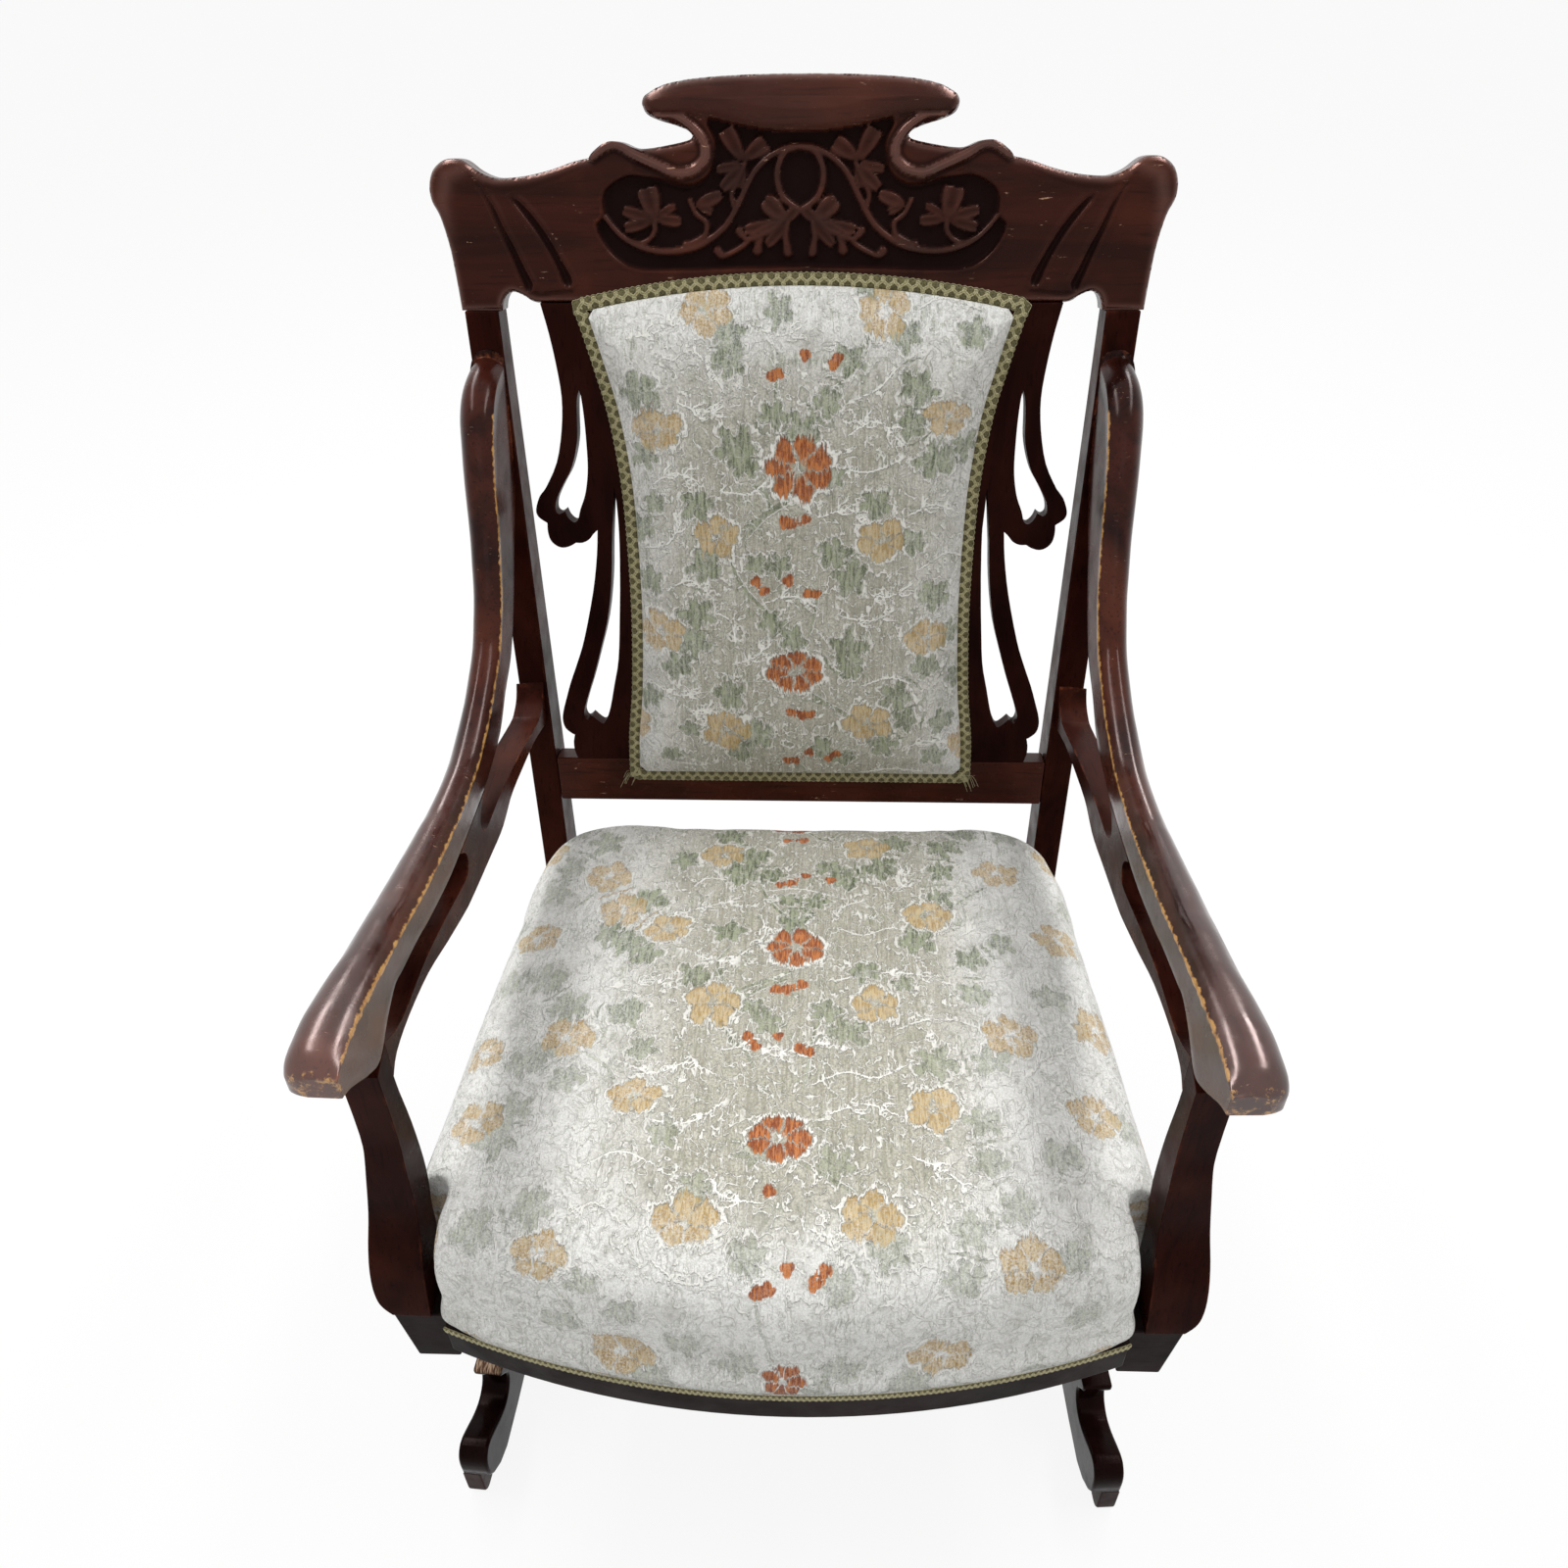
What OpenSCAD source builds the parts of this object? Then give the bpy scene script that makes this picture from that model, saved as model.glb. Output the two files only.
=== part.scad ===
// Platform rocker: an upholstered open armchair that rocks on a low wooden base.
// Origin: on the floor under the middle of the chair. +Z up, the front faces -Y, +X is the viewer's right.
// Chair pieces are drawn at rest. The lean of the back and the taper of the seat are set by the values below.

/* [Seat frame] */
// Height of the top of the seat rails over the floor
seat_top_h = 334; // [300:1:380]
// Width over the seat frame at the front
seat_front_w = 594; // [540:1:640]
// Width over the seat frame at the back posts
seat_rear_w = 527; // [490:1:560]
// Overall depth of the chair, front rail to the back of the crest
overall_d = 712; // [690:1:760]
// Height of a side rail and of the front blocks
side_rail_h = 62; // [50:1:72]
// Thickness of a side rail
side_rail_t = 28; // [22:1:30]
// Height of the bowed front rail
front_rail_h = 35; // [30:1:46]
// Thickness of the bowed front rail
front_rail_t = 24; // [18:1:26]
// How far the front rail bows forward of its ends
front_bow = 46; // [30:1:60]
// Depth of a front block, front to back
block_d = 50; // [44:1:56]
// Width of a front block at its top
block_w = 42; // [40:1:46]

/* [Back] */
// Lean of the back from upright, in degrees
back_lean = 12; // [8:0.5:16]
// Thickness of the crest rail
crest_t = 24; // [20:1:30]
// Width of the crest rail over its ears
crest_w = 599; // [580:1:620]
// Height of the crest rail, post seat to crown
crest_h = 170; // [150:1:190]
// Length of a back post above the seat, along the lean
post_up_l = 567; // [540:1:600]
// Depth of a back post under the crest
post_top_d = 30; // [26:1:34]
// Depth of a back post at the seat
post_seat_d = 46; // [40:1:50]
// Height of the lower edge of the lower back rail above the seat, along the lean
back_rail_up = 108; // [90:1:125]
// Height of the lower back rail
back_rail_h = 46; // [36:1:52]
// Thickness of the lower back rail
back_rail_t = 24; // [18:1:28]
// Thickness of the fretted side splats
fret_t = 16; // [12:1:20]

/* [Arms] */
// Length of an arm, tip to the back post, as a share of the overall depth
arm_share = 0.8427; // [0.8:0.005:0.87]
// Height of the underside of the arm tip over the seat frame
arm_up_h = 240; // [220:1:260]
// Rise of the arm from its tip to its back end
arm_rise_h = 270; // [240:1:290]
// Widest part of an arm, at the hand rest
arm_w = 41; // [36:1:46]
// Outward turn of the arms towards the front, in degrees
arm_splay = 1.65; // [1:0.05:2.5]
// Width of a front post at its foot
post_w = 42; // [38:1:46]
// Thickness of an arm stay
stay_t = 26; // [22:1:28]

/* [Rocker and base] */
// Rocking range each way, in degrees
rock_range = 8; // [5:0.5:9]
// Length of a rocker as a share of the overall depth
rocker_share = 0.6545; // [0.62:0.005:0.69]
// Depth of a rocker at its middle
rocker_d = 74; // [66:1:84]
// Thickness of a rocker and of the front legs
rocker_t = 28; // [24:1:30]
// Length of the base as a share of the overall depth
base_share = 0.8455; // [0.81:0.005:0.88]
// Height of the base boards' running edge over the floor
base_top_h = 101; // [92:1:112]
// Thickness of a base board
base_t = 27; // [24:1:32]
// Height of the cross stretchers
stretcher_h = 52; // [40:1:60]
// Thickness of the cross stretchers
stretcher_t = 22; // [18:1:26]
// Width of a foot pad
pad_w = 17; // [14:1:22]

/* [Rocker springs] */
// Wire thickness of a rocker spring
spring_wire = 4.6; // [3.5:0.1:5.5]
// Outside diameter of a rocker spring
spring_od = 34; // [28:1:38]
// Distance between the two springs of a side
spring_gap = 62; // [50:1:80]
// Turns of a rocker spring
spring_turns = 7; // [5:1:8]
// Thickness of the iron brackets
iron_t = 5; // [4:0.5:7]

/* [Upholstery] */
// Rise of the seat from its edge to its crown
seat_crown_h = 24; // [14:1:40]
// Height of the seat's upholstered edge
seat_edge_h = 86; // [60:1:96]
// How far the back pad swells forward
back_crown_h = 30; // [18:1:40]
// Height of the back panel at its middle
panel_h = 466; // [440:1:480]
// Width of the back panel at its top corners, as a share of the seat frame's rear width
panel_top_share = 0.7287; // [0.68:0.005:0.76]
// Width of the back panel at its bottom, as a share of the seat frame's rear width
panel_low_share = 0.6414; // [0.6:0.005:0.67]
// Width of the braid round the back panel
braid_w = 12; // [9:1:15]
// Thickness of the braid
braid_t = 3; // [2:0.5:4]
// Width of the webbing straps
web_w = 48; // [38:1:55]

/* [Hidden] */
$fn = 48;
eps = 0.01;
// Overrun of every cut past the face that it starts from
over = 5;
// Air between pieces that only lie near each other
clear = 0.4;
wood = "#4a1c12";
wood_dark = "#331410";
wood_pale = "#9a7650";
iron = "#34322f";
steel = "#8a8884";
cloth = "#d3d0c4";
braid_green = "#8c8657";
jute = "#a48a60";
black_cloth = "#2b2a29";

// A smooth stretch through hand-placed points, with n steps between two of them
function blend4(a, b, c, d, t) = (2 * b + (c - a) * t + (2 * a - 5 * b + 4 * c - d) * t * t
    + (3 * b - a - 3 * c + d) * t * t * t) / 2;
function curve(p, n = 3) = [for (i = [0:len(p) - 2]) for (k = [0:n - 1])
    blend4(p[max(i - 1, 0)], p[i], p[i + 1], p[min(i + 2, len(p) - 1)], k / n)];
// Stretches of shares joined with corners between them, each stretch starting where the last ended
function join(list) = [for (p = list) each p];
function sized(shares, w, h) = [for (p = shares) [p[0] * w, p[1] * h]];
function flipped(p) = [for (i = [len(p) - 1:-1:0]) [-p[i][0], p[i][1]]];
function reversed(p) = [for (i = [len(p) - 1:-1:0]) p[i]];

// Lengths that follow the overall depth, and widths that follow the back
arm_l = arm_share * overall_d;
rocker_l = rocker_share * overall_d;
base_l = base_share * overall_d;
panel_top_w = panel_top_share * seat_rear_w;
panel_low_w = panel_low_share * seat_rear_w;

// Seat plan
front_y = -overall_d / 2;
rail_front_y = front_y + 6;
block_front_y = rail_front_y + front_bow + 9 * arm_l / 600;
block_rear_y = block_front_y + block_d;

// The back: its front face leans about the line where it meets the seat frame's top
cap_out = 8;
back_top_l = post_up_l + crest_h;
back_y = overall_d / 2 - back_top_l * sin(back_lean) - crest_t * cos(back_lean);
module in_back() {
    translate([0, back_y, seat_top_h]) rotate([-back_lean, 0, 0]) children();
}
// A flat outline in the back's plane, given thickness towards the rear
module back_board(points, front, t) {
    in_back() translate([0, front + t, 0]) rotate([90, 0, 0]) linear_extrude(t) polygon(points);
}
module side(s) {
    if (s < 0) mirror([1, 0, 0]) children();
    else children();
}

// The sides: rails, rockers and base boards share one plane, which narrows towards the rear
taper = atan((seat_front_w - seat_rear_w) / 2 / (back_y - block_front_y));
side_x = seat_front_w / 2 + block_front_y * tan(taper);
module in_side() {
    translate([side_x, 0, 0]) rotate([0, 0, taper]) children();
}
function side_out(y) = side_x - y * tan(taper);

// Rocking: the pivot stands on the base boards, under the middle of the rocker
base_front_y = rail_front_y + front_bow + 13 * arm_l / 600;
base_mid_y = base_front_y + base_l / 2;
pivot_y = base_mid_y;
pivot_z = base_top_h + clear;
// Height of the rocker's running edge over the pivot: it never reaches the base at either limit
rocker_round = 2.6;
toe_start_share = 0.30;
toe_lift_share = 0.055;
function rocker_rise(y) = sqrt(pow(rocker_round, 2) + pow(y * tan(rock_range), 2))
    + toe_lift_share * rocker_l * pow(max(abs(y) / rocker_l - toe_start_share, 0)
        / (1 / 2 - toe_start_share), 2);
rocker_top_z = pivot_z + rocker_round + rocker_d;

echo("rest gap under the rockers", rocker_round + clear);

// Back posts
// Half widths of the back at the posts, as shares of the seat frame's rear width
post_out_low_share = 0.4985;
post_in_low_share = 0.45;
post_out_top_share = 0.535;
post_in_top_share = 0.4805;
post_slant_l = post_up_l;
module back_post() {
    low = rocker_top_z;
    intersection() {
        translate([0, 0, 0]) rotate([90, 0, 90]) linear_extrude(crest_w) polygon([
            [back_y, low], [back_y, seat_top_h],
            [back_y + post_up_l * sin(back_lean), seat_top_h + post_up_l * cos(back_lean)],
            [back_y + post_up_l * sin(back_lean) + post_top_d * cos(back_lean),
                seat_top_h + post_up_l * cos(back_lean) - post_top_d * sin(back_lean)],
            [back_y + post_seat_d, seat_top_h], [back_y + post_seat_d - over, low]]);
        translate([0, overall_d, 0]) rotate([90, 0, 0]) linear_extrude(2 * overall_d) polygon([
            [seat_rear_w * post_in_low_share, low - over],
            [seat_rear_w * post_out_low_share, low - over],
            [seat_rear_w * post_out_low_share, seat_top_h],
            [seat_rear_w * post_out_top_share, seat_top_h + post_up_l * cos(back_lean)],
            [seat_rear_w * post_out_top_share, seat_top_h + post_slant_l],
            [seat_rear_w * post_in_top_share, seat_top_h + post_slant_l],
            [seat_rear_w * post_in_top_share, seat_top_h + post_up_l * cos(back_lean)],
            [seat_rear_w * post_in_low_share, seat_top_h]]);
    }
}
// Half width between the posts at a height along the lean
function post_in_at(v) = seat_rear_w * (post_in_low_share
    + (post_in_top_share - post_in_low_share) * v / post_up_l);

module left_back_post() { color(wood) side(-1) back_post(); }
module right_back_post() { color(wood) side(1) back_post(); }

// Crest rail: right half of its outline, from under the splat round the ear to the crown
crest_arch_shares = [[0.731, 0.035], [0.749, 0.043], [0.771, 0.068], [0.798, 0.085], [0.818, 0.073],
    [0.83, 0.041], [0.835, 0]];
crest_ear_shares = [[0.95, 0], [0.957, 0.176], [0.964, 0.3], [0.979, 0.417], [0.998, 0.487],
    [1, 0.552], [0.987, 0.613], [0.962, 0.651], [0.935, 0.665], [0.9, 0.657], [0.865, 0.613],
    [0.831, 0.587], [0.801, 0.581], [0.735, 0.591], [0.668, 0.616], [0.608, 0.648], [0.561, 0.665]];
crest_ribbon_shares = [[0.561, 0.665], [0.549, 0.691], [0.512, 0.73], [0.474, 0.728], [0.437, 0.704],
    [0.401, 0.703], [0.356, 0.714], [0.312, 0.728], [0.289, 0.739]];
crest_cap_shares = [[0.289, 0.739], [0.284, 0.754], [0.293, 0.773], [0.327, 0.796], [0.371, 0.817],
    [0.401, 0.841], [0.412, 0.874], [0.411, 0.901], [0.397, 0.926], [0.356, 0.958], [0.289, 0.98],
    [0.2, 0.992], [0.1, 0.998], [0, 1]];
cap_low_shares = [[0, 0.765], [0.07, 0.769], [0.14, 0.786], [0.237, 0.821], [0.317, 0.842],
    [0.371, 0.84], [0.401, 0.845]];
// The sunk ground of the carving, right half, from its foot to the crown
field_low_shares = [[0, 0.198], [0.1, 0.194], [0.25, 0.187], [0.4, 0.182], [0.46, 0.195],
    [0.497, 0.228], [0.527, 0.28], [0.549, 0.346], [0.553, 0.385]];
field_end_shares = [[0.553, 0.385], [0.531, 0.422], [0.533, 0.48]];
field_top_shares = [[0.533, 0.48], [0.519, 0.534], [0.474, 0.581], [0.437, 0.589], [0.377, 0.575],
    [0.327, 0.554], [0.282, 0.554], [0.245, 0.593], [0.23, 0.657], [0.226, 0.737], [0.244, 0.802],
    [0.237, 0.821]];
// Two wedge grooves towards each ear
groove_out_shares = [[0.868, 0.561], [0.846, 0.489], [0.824, 0.385], [0.798, 0.268], [0.771, 0.137],
    [0.757, 0.085], [0.742, 0.117], [0.757, 0.176], [0.783, 0.281], [0.809, 0.372], [0.831, 0.464]];
groove_in_shares = [[0.779, 0.495], [0.749, 0.424], [0.712, 0.333], [0.675, 0.215], [0.653, 0.117],
    [0.634, 0.117], [0.634, 0.15], [0.653, 0.215], [0.69, 0.333], [0.727, 0.424], [0.764, 0.489]];
crest_half = sized(join([curve(crest_arch_shares, 2), [crest_arch_shares[6]], curve(crest_ear_shares, 2),
    curve(crest_ribbon_shares, 2), curve(crest_cap_shares, 2)]), crest_w / 2, crest_h);
field_half = sized(join([curve(field_low_shares, 2), curve(field_end_shares, 2), curve(field_top_shares, 2)]),
    crest_w / 2, crest_h);
cap_half = sized(join([flipped_order(crest_cap_shares, 5), flipped_order(cap_low_shares, 0)]),
    crest_w / 2, crest_h);
// The points of a smooth stretch from one index on, in reverse order
function flipped_order(p, from) = let (c = curve([for (i = [from:len(p) - 1]) p[i]], 2))
    [for (i = [len(c) - 1:-1:0]) c[i]];
field_depth = 5;
groove_depth = 3;
module crest_face(half, front, t) {
    full = concat(half, flipped(half));
    in_back() translate([0, front + t, post_up_l]) rotate([90, 0, 0]) linear_extrude(t) polygon(full);
}
module crest_groove(shares, s) {
    points = sized(shares, crest_w / 2 * s, crest_h);
    in_back() translate([0, groove_depth, post_up_l]) rotate([90, 0, 0])
        linear_extrude(groove_depth + over) polygon(points);
}
module crest_rail() {
    color(wood) {
        difference() {
            crest_face(crest_half, 0, crest_t);
            crest_face(field_half, -over, over + field_depth);
            for (s = [-1, 1]) {
                crest_groove(groove_out_shares, s);
                crest_groove(groove_in_shares, s);
            }
        }
        crest_face(cap_half, -cap_out, cap_out);
    }
}
crest_foot_v = post_up_l + crest_arch_shares[0][1] * crest_h;

// Lower back rail, between the posts
rail_low_v = back_rail_up;
rail_top_v = back_rail_up + back_rail_h;
module lower_back_rail() {
    color(wood) back_board([
        [clear - post_in_at(rail_low_v), rail_low_v], [post_in_at(rail_low_v) - clear, rail_low_v],
        [post_in_at(rail_top_v) - clear, rail_top_v], [clear - post_in_at(rail_top_v), rail_top_v]], 0, back_rail_t);
}

// Fretted splats: shares of their reach from the centre line and of their height
fret_reach = panel_low_w / 2 * 1.42;
fret_h = crest_foot_v - rail_top_v;
fret_curl_shares = [[0.906, 1], [0.885, 0.945], [0.868, 0.883], [0.858, 0.819], [0.868, 0.755],
    [0.896, 0.688], [0.945, 0.635], [0.972, 0.616], [0.99, 0.588], [0.983, 0.572], [0.952, 0.559]];
fret_bud_shares = [[0.952, 0.559], [0.953, 0.54], [0.945, 0.521], [0.924, 0.509], [0.899, 0.505],
    [0.871, 0.509], [0.85, 0.516]];
fret_lip_shares = [[0.85, 0.516], [0.825, 0.516], [0.799, 0.523], [0.781, 0.535], [0.764, 0.544]];
fret_main_shares = [[0.764, 0.544], [0.774, 0.487], [0.799, 0.406], [0.847, 0.299], [0.882, 0.242],
    [0.917, 0.192], [0.941, 0.151], [0.958, 0.12], [0.964, 0.097], [0.956, 0.077], [0.933, 0.064],
    [0.92, 0.06]];
fret_foot_shares = [[0.92, 0.06], [0.927, 0.042], [0.926, 0.02], [0.915, 0]];
slot_out_shares = [[0.794, 0.834], [0.804, 0.812], [0.809, 0.776], [0.8125, 0.74], [0.826, 0.704],
    [0.847, 0.671], [0.875, 0.645], [0.899, 0.621], [0.913, 0.602], [0.915, 0.585], [0.9, 0.578],
    [0.881, 0.585]];
slot_in_shares = [[0.881, 0.585], [0.871, 0.571], [0.852, 0.561], [0.835, 0.566], [0.823, 0.588],
    [0.804, 0.614], [0.792, 0.64], [0.783, 0.676], [0.781, 0.723], [0.7825, 0.776], [0.7875, 0.819],
    [0.794, 0.834]];
long_out_shares = [[0.69, 0.635], [0.698, 0.597], [0.712, 0.516], [0.723, 0.437], [0.75, 0.342],
    [0.799, 0.247], [0.826, 0.199], [0.851, 0.159], [0.869, 0.128], [0.874, 0.111], [0.862, 0.098],
    [0.84, 0.108]];
long_in_shares = [[0.84, 0.108], [0.821, 0.097], [0.8, 0.089], [0.785, 0.098], [0.764, 0.132],
    [0.742, 0.187], [0.719, 0.247], [0.703, 0.342], [0.69, 0.445], [0.683, 0.538], [0.685, 0.604],
    [0.69, 0.635]];
// The splat's hidden inner edge, foot to top
fret_inner_shares = [[0.6, 0], [0.545, 0.4], [0.56, 0.7], [0.66, 1]];
module fret_splat() {
    outline = sized(join([curve(fret_curl_shares), curve(fret_bud_shares), curve(fret_lip_shares),
        curve(fret_main_shares), curve(fret_foot_shares, 2), [[0.915, 0]], curve(fret_inner_shares),
        [[0.66, 1]]]), fret_reach, fret_h);
    slot = sized(join([curve(slot_out_shares), curve(slot_in_shares)]), fret_reach, fret_h);
    long_slot = sized(join([curve(long_out_shares), curve(long_in_shares)]), fret_reach, fret_h);
    in_back() translate([0, fret_t, rail_top_v]) rotate([90, 0, 0]) linear_extrude(fret_t) difference() {
        polygon(outline);
        polygon(slot);
        polygon(long_slot);
    }
}
module left_fret_splat() { color(wood_dark) side(-1) fret_splat(); }
module right_fret_splat() { color(wood_dark) side(1) fret_splat(); }

// Back panel outline: shares of its height from the foot, and of its half width there
panel_side_shares = [[1, 0], [0.99, 0.1], [0.955, 0.21], [0.932, 0.36], [0.93, 0.5], [0.943, 0.63],
    [0.985, 0.75], [1.045, 0.84], [1.136, 0.957]];
panel_foot_v = rail_low_v + back_rail_h / 2;
panel_corner_share = panel_side_shares[8][1];
function panel_half_x(p) = let (grow = panel_top_w / panel_low_w / panel_side_shares[8][0])
    p[0] * panel_low_w / 2 * (1 + (grow - 1) * p[1] / panel_corner_share);
function panel_ring(inset, n, foot = 1) = let (
    rise = panel_h * (1 - panel_corner_share),
    side_pts = [for (p = curve(panel_side_shares, n)) [panel_half_x(p) - inset, p[1] * panel_h]],
    top_x = panel_half_x(panel_side_shares[8]) - inset,
    top_pts = [for (i = [0:4 * n]) let (t = i / (4 * n)) [top_x * (1 - 2 * t),
        panel_h - rise * pow(1 - 2 * t, 2) - inset]],
    foot_pts = [for (i = [1:1:foot - 1]) [-side_pts[0][0] * (1 - 2 * i / foot), inset]],
    right = concat([[side_pts[0][0], inset]], [for (p = side_pts) if (p[1] > inset + over) p]),
    left = [for (i = [len(right) - 1:-1:0]) [-right[i][0], right[i][1]]])
    concat(right, top_pts, left, foot_pts);
module back_braid() {
    color(braid_green) in_back() translate([0, 0, panel_foot_v]) rotate([90, 0, 0]) linear_extrude(braid_t)
        difference() {
            polygon(panel_ring(0, 3));
            polygon(panel_ring(braid_w, 3));
        }
}

// Padded back: rings of points that rise from the braid to the crown and close on a spine
pad_levels = [[0, 0], [0, 0.2], [0.03, 0.4], [0.08, 0.58], [0.17, 0.74], [0.3, 0.87], [0.48, 0.95],
    [0.7, 0.99], [0.88, 1]];
pad_oval_share = 1.12;
function pad_ring(level) = [for (p = reversed(panel_ring(braid_w + 2 * clear, 3, 8))) let (
        c = [0, panel_h / 2], d = p - c,
        oval_w = panel_low_w / 2 * pad_oval_share, oval_h = panel_h / 2 * pad_oval_share,
        a = atan2(d[1] / oval_h, d[0] / oval_w),
        oval = [oval_w * cos(a), oval_h * sin(a)],
        q = c + ((1 - level[0]) * d + level[0] * oval) * (1 - level[0]))
    [q[0], -level[1] * back_crown_h, q[1]]];
// Triangles between stacked rings of the same length, with the first and last ring closed
function ring_faces(rings, n) = concat(
    [for (r = [0:rings - 2]) for (i = [0:n - 1]) each [
        [r * n + i, r * n + (i + 1) % n, (r + 1) * n + i],
        [(r + 1) * n + i, r * n + (i + 1) % n, (r + 1) * n + (i + 1) % n]]],
    [[for (i = [n - 1:-1:0]) i]], [[for (i = [0:n - 1]) (rings - 1) * n + i]]);
// The same with each end closed by a fan round its middle point
function middle(r, i = 0, t = [0, 0, 0]) = i == len(r) ? t / len(r) : middle(r, i + 1, t + r[i]);
function fan_points(rings) = concat([for (r = rings) each r], [middle(rings[0]), middle(rings[len(rings) - 1])]);
function fan_faces(rings) = let (m = len(rings), n = len(rings[0])) concat(
    [for (r = [0:m - 2]) for (i = [0:n - 1]) each [
        [r * n + i, r * n + (i + 1) % n, (r + 1) * n + i],
        [(r + 1) * n + i, r * n + (i + 1) % n, (r + 1) * n + (i + 1) % n]]],
    [for (i = [0:n - 1]) [(i + 1) % n, i, m * n]],
    [for (i = [0:n - 1]) [(m - 1) * n + i, (m - 1) * n + (i + 1) % n, m * n + 1]]);
module back_pad() {
    rings = [for (level = pad_levels) pad_ring(level)];
    color(cloth) in_back() translate([0, 0, panel_foot_v])
        polyhedron(fan_points(rings), fan_faces(rings), convexity = 4);
}
// Cloth behind the opening, and the straps that carry the stuffing
cloth_t = 1.5;
strap_t = 2;
back_strap_count = 5;
module back_webbing() {
    span = fret_reach * 0.56 + 30 * fret_t / 16;
    step = (fret_h - web_w) / back_strap_count;
    color(jute) in_back() {
        for (i = [0:back_strap_count - 1])
            translate([-span, fret_t, rail_top_v + step * (i + 1 / 2)]) cube([2 * span, strap_t, web_w]);
        for (x = [-1, 0, 1])
            translate([x * span / 2 - web_w / 2, fret_t + strap_t, rail_top_v]) cube([web_w, strap_t, fret_h]);
    }
}
module back_outer_cloth() {
    margin = braid_w;
    color(cloth) in_back() translate([0, fret_t + 2 * strap_t + cloth_t, 0]) rotate([90, 0, 0])
        linear_extrude(cloth_t) intersection() {
            translate([0, panel_foot_v]) polygon(panel_ring(margin, 3));
            translate([-crest_w / 2, rail_top_v + clear]) square([crest_w, fret_h - 2 * clear]);
        }
}

// Arms: side outline as shares of the arm's length from its tip, and of its rise
arm_tip_y = block_front_y - 8 * arm_l / 600;
arm_z = seat_top_h + arm_up_h;
arm_x = seat_front_w / 2 - post_w * 0.64 + (arm_tip_y) * tan(arm_splay);
module in_arm() {
    translate([arm_x, 0, 0]) rotate([0, 0, arm_splay]) children();
}
arm_top_shares = [[0, 0.15], [0.006, 0.19], [0.028, 0.211], [0.068, 0.219], [0.148, 0.2], [0.215, 0.178],
    [0.293, 0.148], [0.378, 0.126], [0.472, 0.115], [0.56, 0.126], [0.608, 0.152], [0.66, 0.193],
    [0.697, 0.233], [0.743, 0.293], [0.772, 0.363], [0.797, 0.437], [0.812, 0.511], [0.832, 0.615],
    [0.848, 0.73], [0.86, 0.8], [0.875, 0.859], [0.893, 0.919], [0.918, 0.967], [0.947, 0.993],
    [1.03, 1.01]];
arm_under_shares = [[1.03, 0.74], [0.947, 0.611], [0.912, 0.519], [0.847, 0.322], [0.817, 0.244],
    [0.793, 0.196], [0.738, 0.137], [0.658, 0.044], [0.607, 0.03], [0.57, 0.022]];
arm_slot_shares = [[0.438, 0.019], [0.352, 0.026], [0.257, 0.067], [0.195, 0.085], [0.148, 0.1],
    [0.132, 0.074], [0.122, 0.044], [0.11, 0.033]];
arm_cove_shares = [[0.073, 0], [0.062, 0.037], [0.04, 0.078], [0.023, 0.1], [0.008, 0.125], [0, 0.15]];
stay_slot_shares = [[0.11, 0.033], [0.163, -0.011], [0.257, -0.015], [0.345, -0.042], [0.433, -0.078],
    [0.453, -0.063], [0.458, -0.033], [0.453, -0.007], [0.438, 0.019]];
stay_fork_shares = [[0.57, 0.022], [0.548, 0.004], [0.532, -0.026], [0.529, -0.052], [0.537, -0.078],
    [0.563, -0.093], [0.637, -0.093], [0.73, -0.107], [0.827, -0.131], [0.852, -0.122], [0.872, -0.093],
    [0.885, -0.041]];
stay_low_shares = [[0.93, -0.204], [0.897, -0.204], [0.812, -0.17], [0.758, -0.167], [0.675, -0.17],
    [0.638, -0.189], [0.598, -0.204], [0.523, -0.189], [0.447, -0.17], [0.41, -0.156], [0.333, -0.111],
    [0.258, -0.063], [0.182, -0.044], [0.13, -0.052], [0.107, -0.085]];
arm_plan_shares = [[0, 0.1], [0.001, 0.7], [0.008, 0.88], [0.03, 0.98], [0.072, 0.98], [0.128, 0.94],
    [0.187, 0.87], [0.287, 0.86], [0.363, 0.84], [0.448, 0.77], [0.522, 0.7], [0.63, 0.68], [0.705, 0.66],
    [0.833, 0.68], [0.88, 0.73], [0.923, 0.78], [1.03, 0.75]];
// Stay plan: it follows the arm's inner face and bends in to the back post
stay_plan_shares = [[0, 0], [0.1, 0], [0.45, 0], [0.6, -0.01], [0.75, -0.14], [0.95, -0.38]];
function arm_pt(p) = [arm_tip_y + p[0] * arm_l, arm_z + p[1] * arm_rise_h];
module arm_side(points, from, t) {
    translate([from, 0, 0]) rotate([90, 0, 90]) linear_extrude(t) polygon([for (p = points) arm_pt(p)]);
}
// All that lies behind the front faces of the back posts
module behind_back() {
    in_back() translate([-crest_w, 0, -overall_d]) cube([2 * crest_w, overall_d, 3 * overall_d]);
}
module arm() {
    difference() {
        in_arm() intersection() {
            arm_side(join([curve(arm_top_shares), [arm_top_shares[24]], curve(arm_under_shares),
                [arm_under_shares[9]], curve(arm_slot_shares), [arm_slot_shares[7]],
                curve(arm_cove_shares)]), 0, arm_w);
            translate([0, 0, arm_z - arm_rise_h]) linear_extrude(3 * arm_rise_h) polygon(concat(
                [[0, arm_tip_y + arm_l * 1.03], [0, arm_tip_y]],
                [for (p = curve(arm_plan_shares)) [p[1] * arm_w, arm_tip_y + p[0] * arm_l]],
                [[arm_plan_shares[16][1] * arm_w, arm_tip_y + arm_l * arm_plan_shares[16][0]]]));
        }
        behind_back();
    }
}
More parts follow.
